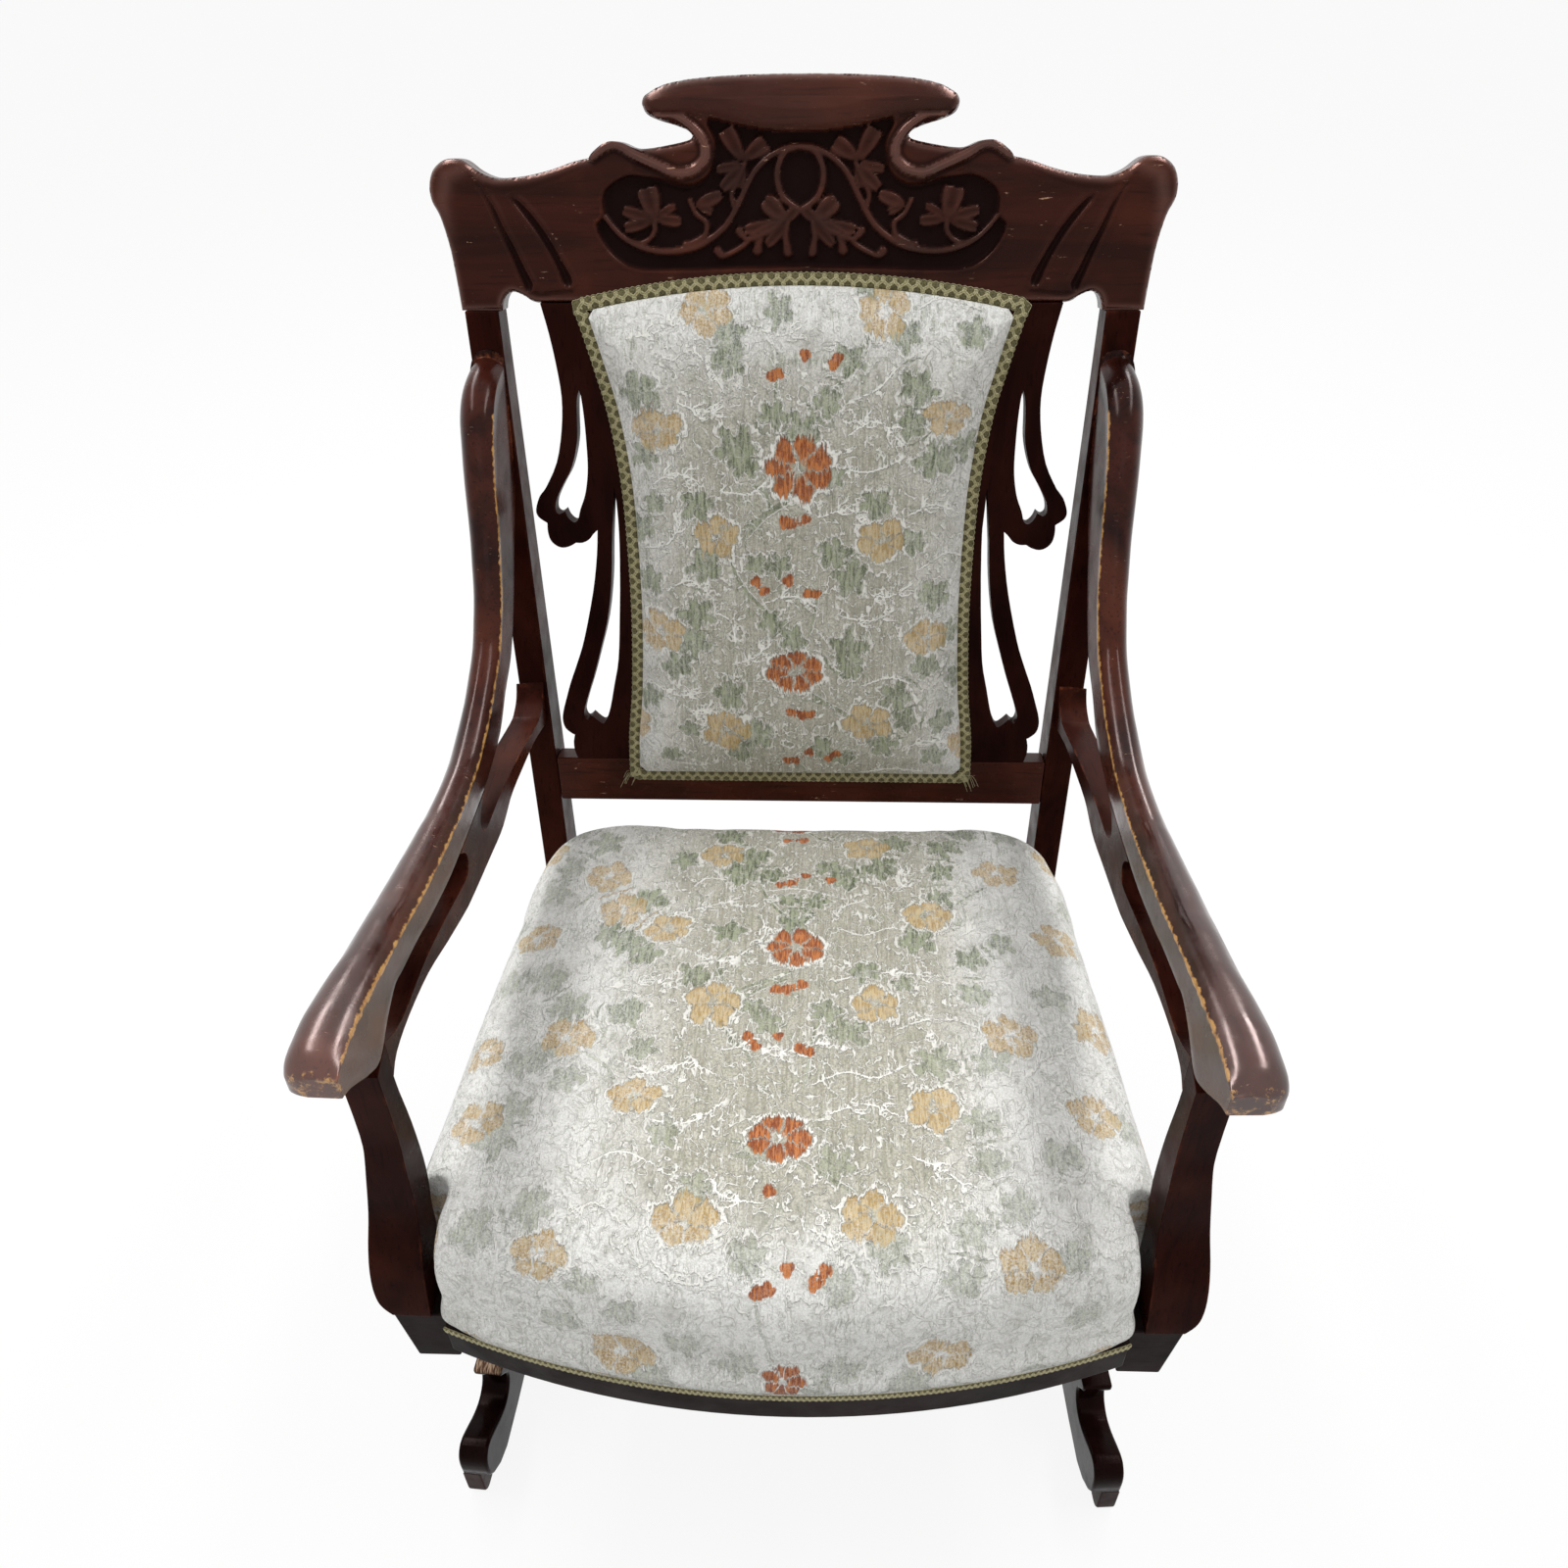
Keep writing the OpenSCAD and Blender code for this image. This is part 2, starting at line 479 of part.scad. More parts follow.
module arm_stay() {
    inner = [for (p = curve(stay_plan_shares)) [p[1] * stay_t, arm_tip_y + p[0] * arm_l]];
    difference() {
        in_arm() intersection() {
            arm_side(join([curve(stay_slot_shares), [stay_slot_shares[8]], curve(stay_fork_shares),
                [stay_fork_shares[11]], [[0.93, -0.041]], curve(stay_low_shares),
                [stay_low_shares[14]]]), -arm_w, 3 * arm_w);
            translate([0, 0, arm_z - arm_rise_h]) linear_extrude(2 * arm_rise_h) polygon(concat(inner,
                [for (i = [len(inner) - 1:-1:0]) inner[i] + [stay_t, 0]]));
        }
        behind_back();
    }
}
module left_arm() { color(wood) side(-1) arm(); }
module right_arm() { color(wood) side(1) arm(); }
module left_arm_stay() { color(wood) side(-1) arm_stay(); }
module right_arm_stay() { color(wood) side(1) arm_stay(); }

// Front posts: shares along the arm, and of the height from the seat frame to the arm
post_front_shares = [[0.073, 1], [0.072, 0.733], [0.065, 0.567], [0.057, 0.392], [0.042, 0.275],
    [0.028, 0.183], [0.014, 0.05], [0.01, 0]];
post_rear_shares = [[0.092, 0], [0.092, 0.15], [0.098, 0.3], [0.107, 0.379], [0.113, 0.488],
    [0.113, 0.667], [0.108, 0.83], [0.107, 0.904]];
post_width_shares = [[0.714, 0], [0.88, 0.033], [0.964, 0.071], [1, 0.138], [0.976, 0.25],
    [0.905, 0.354], [0.786, 0.5], [0.68, 0.629], [0.643, 0.733], [0.643, 1.05]];
module front_post() {
    in_arm() intersection() {
        translate([0, 0, 0]) rotate([90, 0, 90]) linear_extrude(post_w) polygon(concat(
            [for (p = join([curve(post_rear_shares), [post_rear_shares[7]]]))
                [arm_tip_y + p[0] * arm_l, seat_top_h + p[1] * arm_up_h]],
            [arm_pt(arm_slot_shares[7]), arm_pt(arm_cove_shares[0])],
            [for (p = join([curve(post_front_shares), [post_front_shares[7]]]))
                [arm_tip_y + p[0] * arm_l, seat_top_h + p[1] * arm_up_h]]));
        translate([0, arm_l, 0]) rotate([90, 0, 0]) linear_extrude(2 * arm_l) polygon(concat(
            [[0, seat_top_h], [post_width_shares[0][0] * post_w, seat_top_h]],
            [for (p = curve(post_width_shares)) [p[0] * post_w, seat_top_h + p[1] * arm_up_h]],
            [[post_width_shares[9][0] * post_w, arm_z + arm_rise_h], [0, arm_z + arm_rise_h]]));
    }
}
module left_front_post() { color(wood) side(-1) front_post(); }
module right_front_post() { color(wood) side(1) front_post(); }

// Front blocks under the posts
block_out_x = seat_front_w / 2 + 3 * block_w / 42;
block_in_x = block_out_x - block_w;
block_taper = 8 * block_w / 42;
block_low_z = seat_top_h - side_rail_h;
module front_block() {
    translate([0, block_rear_y, 0]) rotate([90, 0, 0]) linear_extrude(block_d) polygon([
        [block_in_x, block_low_z], [block_out_x - block_taper, block_low_z],
        [block_out_x, seat_top_h], [block_in_x, seat_top_h]]);
}
module left_front_block() { color(wood_dark) side(-1) front_block(); }
module right_front_block() { color(wood_dark) side(1) front_block(); }

// Side rails, cut off square between the front block and the back post
module side_rail() {
    intersection() {
        in_side() translate([-side_rail_t, -overall_d, block_low_z]) cube([side_rail_t, 2 * overall_d, side_rail_h]);
        translate([0, block_rear_y, 0]) cube([seat_front_w, back_y - block_rear_y, seat_top_h]);
    }
}
module left_side_rail() { color(wood_dark) side(-1) side_rail(); }
module right_side_rail() { color(wood_dark) side(1) side_rail(); }

// Bowed front rail: a ring sector between the two blocks
bow_half = block_in_x;
bow_r = (pow(bow_half, 2) + pow(front_bow, 2)) / 2 / front_bow;
bow_y = rail_front_y + bow_r;
module bow_ring(r_out, t, low, h) {
    intersection() {
        translate([0, bow_y, low]) difference() {
            cylinder(h = h, r = r_out, $fn = 180);
            translate([0, 0, -over]) cylinder(h = h + 2 * over, r = r_out - t, $fn = 180);
        }
        translate([-bow_half, rail_front_y - over, low - over])
            cube([2 * bow_half, front_bow + 2 * front_rail_t, h + 2 * over]);
    }
}
module front_rail() {
    color(wood_dark) bow_ring(bow_r, front_rail_t, seat_top_h - front_rail_h, front_rail_h);
}

// Rear rail, between the back posts
rear_rail_y = back_y + 8 * post_seat_d / 46;
rear_rail_half = seat_rear_w * post_in_low_share;
module rear_rail() {
    color(wood_dark) translate([-rear_rail_half, rear_rail_y, block_low_z])
        cube([2 * rear_rail_half, front_rail_t, side_rail_h]);
}

// Glue blocks in the corners of the seat frame
corner_l = 46;
corner_h = 34;
function rail_in(y) = side_out(y) - side_rail_t / cos(taper);
module corner_blocks() {
    low = seat_top_h - front_rail_h / 2 - corner_h / 2;
    rear = rear_rail_y;
    bow_in = bow_r - front_rail_t;
    color(wood_pale) for (s = [-1, 1]) side(s) {
        translate([0, 0, low]) linear_extrude(corner_h) polygon([
            [rear_rail_half - clear, back_y + clear], [rear_rail_half - clear, rear],
            [rear_rail_half - corner_l, rear],
            [rail_in(back_y - corner_l) - clear, back_y - corner_l],
            [rail_in(back_y) - clear, back_y + clear]]);
        intersection() {
            translate([0, 0, low]) linear_extrude(corner_h) polygon([
                [block_in_x, block_front_y - front_rail_t], [block_in_x, block_rear_y],
                [block_in_x - corner_l, block_front_y], [block_in_x - corner_l, block_front_y - front_rail_t]]);
            translate([0, bow_y, low - over])
                cylinder(h = corner_h + 2 * over, r = bow_r - front_rail_t, $fn = 180);
        }
    }
}

// Battens inside the rails, level with the front rail's lower edge, which carry the webbing
batten_t = 14;
batten_h = 16;
web_z = seat_top_h - front_rail_h - 2 * strap_t;
module webbing_battens() {
    low = web_z + 2 * strap_t;
    color(wood_pale) {
        for (s = [-1, 1]) side(s) intersection() {
            in_side() translate([-side_rail_t - batten_t, -overall_d, low])
                cube([batten_t, 2 * overall_d, batten_h]);
            translate([0, block_rear_y + corner_l / 4, 0])
                cube([seat_front_w, back_y - 5 * corner_l / 4 - clear - block_rear_y, seat_top_h]);
        }
        translate([-rear_rail_half + corner_l + clear, rear_rail_y - batten_t, low])
            cube([2 * (rear_rail_half - corner_l - clear), batten_t, batten_h]);
    }
}
// Interlaced straps under the seat springs
seat_straps_across = 6;
seat_straps_along = 6;
module seat_webbing() {
    front = block_rear_y;
    rear = rear_rail_y - clear;
    pitch_y = (rear - front - web_w / 2) / seat_straps_across;
    pitch_x = 2 * rail_in(rear - web_w) / seat_straps_along;
    color(jute) {
        for (i = [0:seat_straps_across - 1]) {
            y = front + web_w / 3 + i * pitch_y;
            half = rail_in(y + web_w) - clear;
            translate([-half, y, web_z]) cube([2 * half, web_w, strap_t]);
        }
        for (i = [0:seat_straps_along - 1]) {
            x = (i - (seat_straps_along - 1) / 2) * pitch_x;
            y = bow_y - sqrt(pow(bow_r - front_rail_t / 3, 2) - pow(abs(x) + web_w / 2, 2));
            translate([x - web_w / 2, y, web_z + strap_t]) cube([web_w, rear - y, strap_t]);
        }
    }
}
// Waisted seat springs, each one closed solid, standing on the straps
seat_spring_h = 72;
seat_spring_r = 34;
seat_spring_waist = 22;
module seat_springs() {
    low = web_z + 2 * strap_t;
    front = block_front_y + web_w;
    step_y = (rear_rail_y - front) / 3;
    step_x = rail_in(back_y) * 2 / 3;
    color(steel) for (i = [-1, 0, 1]) for (j = [0, 1, 2])
        translate([i * step_x, front + (j + 1 / 2) * step_y, low]) {
            head(spring_wire, seat_spring_r);
            translate([0, 0, spring_wire]) head(seat_spring_h - 2 * spring_wire, seat_spring_waist);
            translate([0, 0, seat_spring_h - spring_wire]) head(spring_wire, seat_spring_r);
        }
}

// Seat pad: rings round a tapered, bow-fronted plan, from the drawn-in edge up to the crown
pad_rear_y = back_y + post_seat_d * 0.57;
pad_round_front = 11;
pad_round_rear = 8;
pad_rear_in = 8;
pad_bulge_d = 5;
pad_mid_y = (front_y + pad_bulge_d + pad_rear_y) / 2;
pad_half_d = (pad_rear_y - front_y - pad_bulge_d) / 2;
pad_bow_share = 0.212;
pad_segments = 60;
function corner_wave(c, n) = sign(c) * pow(abs(c), 2 / n);
function pad_plan(a, out, shrink) = let (
    n = sin(a) < 0 ? pad_round_front : pad_round_rear,
    u = corner_wave(cos(a), n), v = corner_wave(sin(a), n),
    y = pad_mid_y + v * pad_half_d * shrink,
    half = side_out(y) + out - pad_rear_in * max(y / pad_rear_y, 0),
    x = u * half * shrink,
    bow = v < 0 ? pad_bow_share * pad_half_d * pow(v * x / half, 2) : 0)
    [x, y + bow * shrink + (v < 0 ? out * v : 0)];
// Each level: share of the outward bulge, share of the edge height, shrink towards the middle, share of the crown
seat_levels = [[-0.2, 0, 1, 0], [0.4, 0.16, 1, 0], [1, 0.42, 1, 0], [0.9, 0.66, 1, 0],
    [0.2, 0.86, 0.99, 0], [-0.2, 0.97, 0.965, 0], [0, 1, 0.925, 0.2], [0, 1, 0.81, 0.46], [0, 1, 0.6, 0.74],
    [0, 1, 0.36, 0.93], [0, 1, 0.13, 1]];
spring_pocket_h = 46;
module seat_pad_body() {
    rings = [for (level = seat_levels) [for (i = [0:pad_segments - 1])
        let (p = pad_plan(-i * 360 / pad_segments, level[0] * pad_bulge_d, level[2]))
        [p[0], p[1], seat_top_h + clear + level[1] * seat_edge_h + level[3] * seat_crown_h]]];
    polyhedron(fan_points(rings), fan_faces(rings), convexity = 6);
}
module seat_pad() {
    post_gap = 1;
    front_gap = 5;
    pocket_front = block_rear_y + corner_l / 2;
    pocket_half = rail_in(back_y) - batten_t;
    color(cloth) difference() {
        seat_pad_body();
        for (s = [-1, 1]) side(s) {
            in_arm() translate([-front_gap, front_y - over, seat_top_h - over])
                cube([seat_front_w, block_rear_y - front_y + over + 9 * post_gap, arm_up_h]);
            translate([rear_rail_half - post_gap, back_y - post_gap, seat_top_h - over])
                cube([seat_front_w, overall_d, arm_up_h]);
        }
        translate([-pocket_half, pocket_front, seat_top_h - over])
            cube([2 * pocket_half, rear_rail_y - pocket_front - batten_t, spring_pocket_h + over]);
    }
}
// Gimp along the lower edge of the cover: a bow at the front and straight strips at the sides
gimp_h = 10;
gimp_t = 2;
module seat_gimp() {
    color(braid_green) {
        bow_ring(bow_r + gimp_t, gimp_t, seat_top_h - gimp_h, gimp_h);
        for (s = [-1, 1]) side(s) intersection() {
            in_side() translate([0, -overall_d, seat_top_h - gimp_h]) cube([gimp_t, 2 * overall_d, gimp_h]);
            translate([0, block_rear_y + gimp_t, 0]) cube([seat_front_w, back_y - block_rear_y - 2 * gimp_t, arm_z]);
        }
    }
}
// Black cloth that closes the seat from below
module dust_cover() {
    z = web_z - cloth_t;
    color(black_cloth) intersection() {
        translate([0, 0, z]) linear_extrude(cloth_t) polygon([
            [-block_in_x + clear, rail_front_y], [block_in_x - clear, rail_front_y],
            [block_in_x - clear, block_rear_y + clear], [rail_in(block_rear_y) - clear, block_rear_y + clear],
            [rail_in(rear_rail_y) - 2 * clear - taper, rear_rail_y - clear],
            [-rail_in(rear_rail_y) + 2 * clear + taper, rear_rail_y - clear],
            [-rail_in(block_rear_y) + clear, block_rear_y + clear],
            [-block_in_x + clear, block_rear_y + clear]]);
        translate([0, bow_y, z - over]) cylinder(h = cloth_t + 2 * over, r = bow_r - front_rail_t / 4, $fn = 180);
    }
}

// Rockers and the legs that join them to the seat frame, in the plane of the sides
rocker_front_y = pivot_y - rocker_l / 2;
rocker_rear_y = pivot_y + rocker_l / 2;
rocker_steps = 40;
module rocker() {
    end_r = rocker_d / 12;
    low = [for (i = [0:rocker_steps]) let (y = (i / rocker_steps - 1 / 2) * rocker_l)
        [pivot_y + y, pivot_z + rocker_rise(y)]];
    in_side() translate([-rocker_t, 0, 0]) rotate([90, 0, 90]) linear_extrude(rocker_t) polygon(concat(low,
        [[rocker_rear_y, rocker_top_z - end_r], [rocker_rear_y - end_r, rocker_top_z],
        [rocker_front_y + end_r, rocker_top_z], [rocker_front_y, rocker_top_z - end_r]]));
}
module left_rocker() { color(wood) side(-1) rocker(); }
module right_rocker() { color(wood) side(1) rocker(); }
leg_d = 44;
leg_front_y = rocker_front_y + 12 * rocker_l / 466;
module front_leg() {
    swell = leg_d / 5;
    waist_shares = [[1, 0], [0.62, 0.22], [0.5, 0.5], [0.62, 0.78], [1, 1]];
    h = block_low_z - rocker_top_z;
    in_side() translate([-rocker_t, 0, 0]) rotate([90, 0, 90]) linear_extrude(rocker_t) polygon(concat(
        [for (p = join([curve(waist_shares, 4), [[1, 1]]]))
            [leg_front_y + leg_d / 2 + p[0] * leg_d / 2 + swell * (p[0] - 1), rocker_top_z + p[1] * h]],
        [for (p = join([curve([[1, 1], [0.62, 0.78], [0.5, 0.5], [0.62, 0.22], [1, 0]], 4), [[1, 0]]]))
            [leg_front_y + leg_d / 2 - p[0] * leg_d / 2 - swell * (p[0] - 1), rocker_top_z + p[1] * h]]));
}
module left_front_leg() { color(wood) side(-1) front_leg(); }
module right_front_leg() { color(wood) side(1) front_leg(); }
// Screws up through each rocker into the leg and the post
screw_head_r = 5;
// A screw head, plug or stud: many-sided, because nothing turns on it
module head(h, r) {
    linear_extrude(h) polygon([for (i = [0:11]) r * [cos(30 * i), sin(30 * i)]]);
}
module rocker_screws() {
    color(steel) for (s = [-1, 1]) side(s) in_side() for (y = [leg_front_y + leg_d / 2, back_y + post_seat_d / 2])
        translate([-rocker_t - 2, y, rocker_top_z - rocker_d / 4]) rotate([0, 90, 0]) head(2, screw_head_r);
}

// Base boards: outline of the front end, as shares of the end's length and of the board's height
end_l = 67;
base_arch = 16;
module base_board_2d() {
    s = end_l;
    h = base_top_h;
    ledge = base_front_y + s;
    front_half = concat(
        [[base_mid_y, h], [ledge, h], [ledge, h - 7 * h / 101]],
        curve([[ledge + 0.16 * s, h * 0.78], [ledge + 0.17 * s, h * 0.7], [ledge + 0.09 * s, h * 0.61],
            [ledge - 0.08 * s, h * 0.565], [ledge - 0.3 * s, h * 0.6], [ledge - 0.55 * s, h * 0.69],
            [ledge - 0.7 * s, h * 0.74]], 3),
        curve([[ledge - 0.7 * s, h * 0.74], [ledge - 0.83 * s, h * 0.75], [ledge - 0.95 * s, h * 0.69],
            [ledge - s, h * 0.58], [ledge - s, h * 0.42]], 3),
        foot_line);
    arch_from = front_half[len(front_half) - 1];
    arch = [for (t = [0.2:0.2:1.8]) [arch_from[0] + (base_mid_y - arch_from[0]) * t,
        arch_from[1] + base_arch * sin(90 * t)]];
    polygon(concat(front_half, arch,
        [for (i = [len(front_half) - 1:-1:1]) [2 * base_mid_y - front_half[i][0], front_half[i][1]]]));
}
// The underside of a toe, front to back, where the foot pad is fixed
foot_line = [[base_front_y, base_top_h * 0.42], [base_front_y + end_l * 0.1, base_top_h * 0.3],
    [base_front_y + end_l * 0.32, base_top_h * 0.17], [base_front_y + end_l * 0.6, base_top_h * 0.1],
    [base_front_y + end_l * 1.2, base_top_h * 0.12]];
base_out = 3;
module base_board() {
    in_side() translate([base_out - base_t, 0, 0]) rotate([90, 0, 90]) linear_extrude(base_t) base_board_2d();
}
module left_base_board() { color(wood) side(-1) base_board(); }
module right_base_board() { color(wood) side(1) base_board(); }
module foot_pad(at_rear) {
    line = [for (i = [0:3]) foot_line[i]];
    round_r = end_l * 0.16;
    points = concat(line, [[line[3][0], 0]],
        [for (a = [0:22.5:90]) [base_front_y + round_r * (1 - sin(a)), round_r * (1 - cos(a))]]);
    in_side() translate([base_out - pad_w, 0, 0]) rotate([90, 0, 90])
        linear_extrude(pad_w) polygon(at_rear ? [for (p = points) [2 * base_mid_y - p[0], p[1]]] : points);
}
module left_front_foot_pad() { color(wood_dark) side(-1) foot_pad(false); }
module left_rear_foot_pad() { color(wood_dark) side(-1) foot_pad(true); }
module right_front_foot_pad() { color(wood_dark) side(1) foot_pad(false); }
module right_rear_foot_pad() { color(wood_dark) side(1) foot_pad(true); }

// Stretchers between the base boards, their ends cut to the boards' inner faces
stretcher_low_z = 26;
function base_in(y) = side_out(y) + (base_out - base_t) / cos(taper);
module stretcher(y) {
    translate([0, 0, stretcher_low_z]) linear_extrude(stretcher_h) polygon([
        [-base_in(y), y], [base_in(y), y], [base_in(y + stretcher_t), y + stretcher_t],
        [-base_in(y + stretcher_t), y + stretcher_t]]);
}
front_stretcher_y = base_mid_y - base_l * 0.27;
rear_stretcher_y = base_mid_y + base_l * 0.3;
module front_stretcher() { color(wood) stretcher(front_stretcher_y); }
module middle_stretcher() { color(wood) stretcher(middle_stretcher_y); }
module rear_stretcher() { color(wood) stretcher(rear_stretcher_y); }
module stretcher_screws() {
    color(steel) for (s = [-1, 1]) side(s) in_side() for (y = [front_stretcher_y, rear_stretcher_y])
        for (k = [0.3, 0.7]) translate([base_out, y + stretcher_t / 2, stretcher_low_z + stretcher_h * k])
            rotate([0, 90, 0]) head(1.5, screw_head_r);
}

// Spring brackets: a plate on the board, a shelf, two gussets and a stud inside each spring
shelf_d = 48;
bracket_end_l = 8;
bracket_l = spring_gap + spring_od + 2 * bracket_end_l;
// The middle stretcher stands just behind the brackets
middle_stretcher_y = pivot_y + bracket_l / 2 + bracket_end_l;
lower_shelf_z = 50;
upper_shelf_z = rocker_top_z - 10;
stud_h = 8;
stud_r = spring_od / 2 - spring_wire - 2;
spring_x = -rocker_t - iron_t - spring_od / 2 - 3;
module bracket(face, shelf, up, plate_low, plate_h) {
    translate([face - iron_t, pivot_y - bracket_l / 2, plate_low]) cube([iron_t, bracket_l, plate_h]);
    translate([face - shelf_d, pivot_y - bracket_l / 2, shelf]) cube([shelf_d - iron_t, bracket_l, iron_t]);
    for (y = [-bracket_l / 2, -iron_t / 2, bracket_l / 2 - iron_t])
        translate([face - iron_t, pivot_y + y + iron_t, 0]) rotate([90, 0, 0]) linear_extrude(iron_t)
            polygon(up > 0
                ? [[0, shelf], [-shelf_d / 2, shelf], [0, plate_low]]
                : [[0, shelf + iron_t], [-shelf_d / 2, shelf + iron_t], [0, plate_low + plate_h]]);
    for (y = [-spring_gap / 2, spring_gap / 2])
        translate([spring_x, pivot_y + y, up > 0 ? shelf + iron_t : shelf - stud_h])
            head(stud_h, stud_r);
}
lower_face = base_out - base_t;
upper_face = -rocker_t;
lower_plate_low = 22;
lower_plate_h = lower_shelf_z + iron_t - lower_plate_low;
upper_plate_h = 42;
module lower_bracket() { in_side() bracket(lower_face, lower_shelf_z, 1, lower_plate_low, lower_plate_h); }
module upper_bracket() { in_side() bracket(upper_face, upper_shelf_z, -1, upper_shelf_z, upper_plate_h); }
module left_lower_bracket() { color(iron) side(-1) lower_bracket(); }
module right_lower_bracket() { color(iron) side(1) lower_bracket(); }
module left_upper_bracket() { color(iron) side(-1) upper_bracket(); }
module right_upper_bracket() { color(iron) side(1) upper_bracket(); }
module bracket_screws(face, z) {
    for (s = [-1, 1]) side(s) in_side() for (y = [-0.38, -0.14, 0.14, 0.38])
        translate([face - iron_t - 2, pivot_y + y * bracket_l, z]) rotate([0, 90, 0])
            head(2, screw_head_r - 1);
}
module bracket_screws_lower() { color(steel) bracket_screws(lower_face, lower_plate_low + 8); }
module bracket_screws_upper() { color(steel) bracket_screws(upper_face, upper_shelf_z + iron_t + 8); }

// Rocker springs: one unbroken tube each, swept along a helix with flat ends
spring_low_z = lower_shelf_z + iron_t + clear;
spring_top_z = upper_shelf_z - clear;
spring_ring = 6;
spring_steps = 8;
spring_mean_r = (spring_od - spring_wire) / 2;
spring_pitch = (spring_top_z - spring_low_z - spring_wire) / spring_turns;
function spring_point(t) = [spring_mean_r * cos(360 * t), spring_mean_r * sin(360 * t),
    spring_low_z + spring_wire / 2 + spring_pitch * t];
function spring_section(t) = let (c = spring_point(t), tilt = atan(spring_pitch / (2 * PI * spring_mean_r)))
    [for (k = [0:spring_ring - 1]) let (a = 360 * k / spring_ring, r = spring_wire / 2)
        c + r * cos(a) * [cos(360 * t), sin(360 * t), 0]
          + r * sin(a) * [sin(360 * t) * sin(tilt), -cos(360 * t) * sin(tilt), cos(tilt)]];
spring_self_gap = spring_pitch * cos(atan(spring_pitch / (2 * PI * spring_mean_r))) - spring_wire;
echo("least gap between the turns of a rocker spring", spring_self_gap);
module spring(s, y) {
    count = spring_turns * spring_steps;
    side(s) in_side() translate([spring_x, pivot_y + y, 0]) polyhedron(
        [for (i = [0:count]) each spring_section(i / spring_steps)],
        ring_faces(count + 1, spring_ring), convexity = 10);
}
module left_front_spring() { color(steel) spring(-1, -spring_gap / 2); }
module left_rear_spring() { color(steel) spring(-1, spring_gap / 2); }
module right_front_spring() { color(steel) spring(1, -spring_gap / 2); }
module right_rear_spring() { color(steel) spring(1, spring_gap / 2); }

// Turned plugs over the screws that hold the arms and stays to the back posts, seen from behind
plug_r = 5;
plug_h = 2;
// How far behind the back's front plane a post's rear face lies at a height along the lean
function post_rear_t(v) = let (low_t = post_seat_d * cos(back_lean), low_v = post_seat_d * sin(back_lean))
    low_t + (post_top_d - low_t) * (v - low_v) / (post_up_l - low_v);
module arm_screw_plugs() {
    color(wood) for (s = [-1, 1]) side(s) for (v = [0.37, 0.83])
        translate([0, 0, 0]) in_back() translate([post_in_at(v * post_up_l) + block_w / 3,
            post_rear_t(v * post_up_l - plug_r), v * post_up_l])
            rotate([-90, 0, 0]) head(plug_h, plug_r);
}

left_back_post();
right_back_post();
crest_rail();
lower_back_rail();
left_fret_splat();
right_fret_splat();
back_webbing();
back_pad();
back_braid();
back_outer_cloth();
left_arm();
right_arm();
left_arm_stay();
right_arm_stay();
left_front_post();
right_front_post();
left_front_block();
right_front_block();
left_side_rail();
right_side_rail();
front_rail();
rear_rail();
corner_blocks();
webbing_battens();
seat_webbing();
seat_springs();
seat_pad();
seat_gimp();
dust_cover();
left_front_leg();
right_front_leg();
left_rocker();
right_rocker();
rocker_screws();
left_upper_bracket();
right_upper_bracket();
left_lower_bracket();
right_lower_bracket();
bracket_screws_upper();
bracket_screws_lower();
left_front_spring();
left_rear_spring();
right_front_spring();
right_rear_spring();
left_base_board();
right_base_board();
front_stretcher();
middle_stretcher();
rear_stretcher();
stretcher_screws();
left_front_foot_pad();
left_rear_foot_pad();
right_front_foot_pad();
right_rear_foot_pad();
arm_screw_plugs();
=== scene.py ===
import math
from functools import reduce
import bpy
import numpy as np
from mathutils import Matrix, Vector


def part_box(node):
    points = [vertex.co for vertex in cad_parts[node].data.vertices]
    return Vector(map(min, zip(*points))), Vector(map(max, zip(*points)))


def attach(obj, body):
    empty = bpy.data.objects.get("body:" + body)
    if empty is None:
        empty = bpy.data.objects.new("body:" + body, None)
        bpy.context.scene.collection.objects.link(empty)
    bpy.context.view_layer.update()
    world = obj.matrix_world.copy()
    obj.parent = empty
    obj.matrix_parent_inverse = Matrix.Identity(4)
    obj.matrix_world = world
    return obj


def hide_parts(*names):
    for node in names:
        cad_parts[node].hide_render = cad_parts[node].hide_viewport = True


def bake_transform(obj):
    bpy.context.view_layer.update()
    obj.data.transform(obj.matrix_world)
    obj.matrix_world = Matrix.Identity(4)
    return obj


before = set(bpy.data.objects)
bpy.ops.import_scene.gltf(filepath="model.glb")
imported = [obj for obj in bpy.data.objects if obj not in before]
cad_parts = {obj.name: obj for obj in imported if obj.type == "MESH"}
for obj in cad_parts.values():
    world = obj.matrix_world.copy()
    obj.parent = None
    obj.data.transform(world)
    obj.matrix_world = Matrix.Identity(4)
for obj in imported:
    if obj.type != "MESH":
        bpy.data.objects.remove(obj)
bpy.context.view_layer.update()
scene = bpy.context.scene

# Measures are in millimetres up to the mesh, which is in metres.
MM = 0.001
LEAN = math.radians(12)  # of the back
BACK_Y, SEAT_TOP = 179.295, 334.0  # where the back's front plane meets the top of the seat frame
POST_UP = 567.0  # from there up the back to the crest rail
CREST_W, CREST_H, CREST_T = 599.0, 170.0, 24.0
TAPER = math.atan(33.5 / (BACK_Y + 295.0))  # of the seat frame's sides
SIDE_X = 276.16  # the seat frame's half width at y = 0
# the front rail's bow, an arc in plan
BOW_HALF, BOW_DEEP, BOW_FRONT = 258.0, 46.0, -350.0
BOW_R = (BOW_HALF ** 2 + BOW_DEEP ** 2) / (2 * BOW_DEEP)
BOW_Y = BOW_FRONT + BOW_R


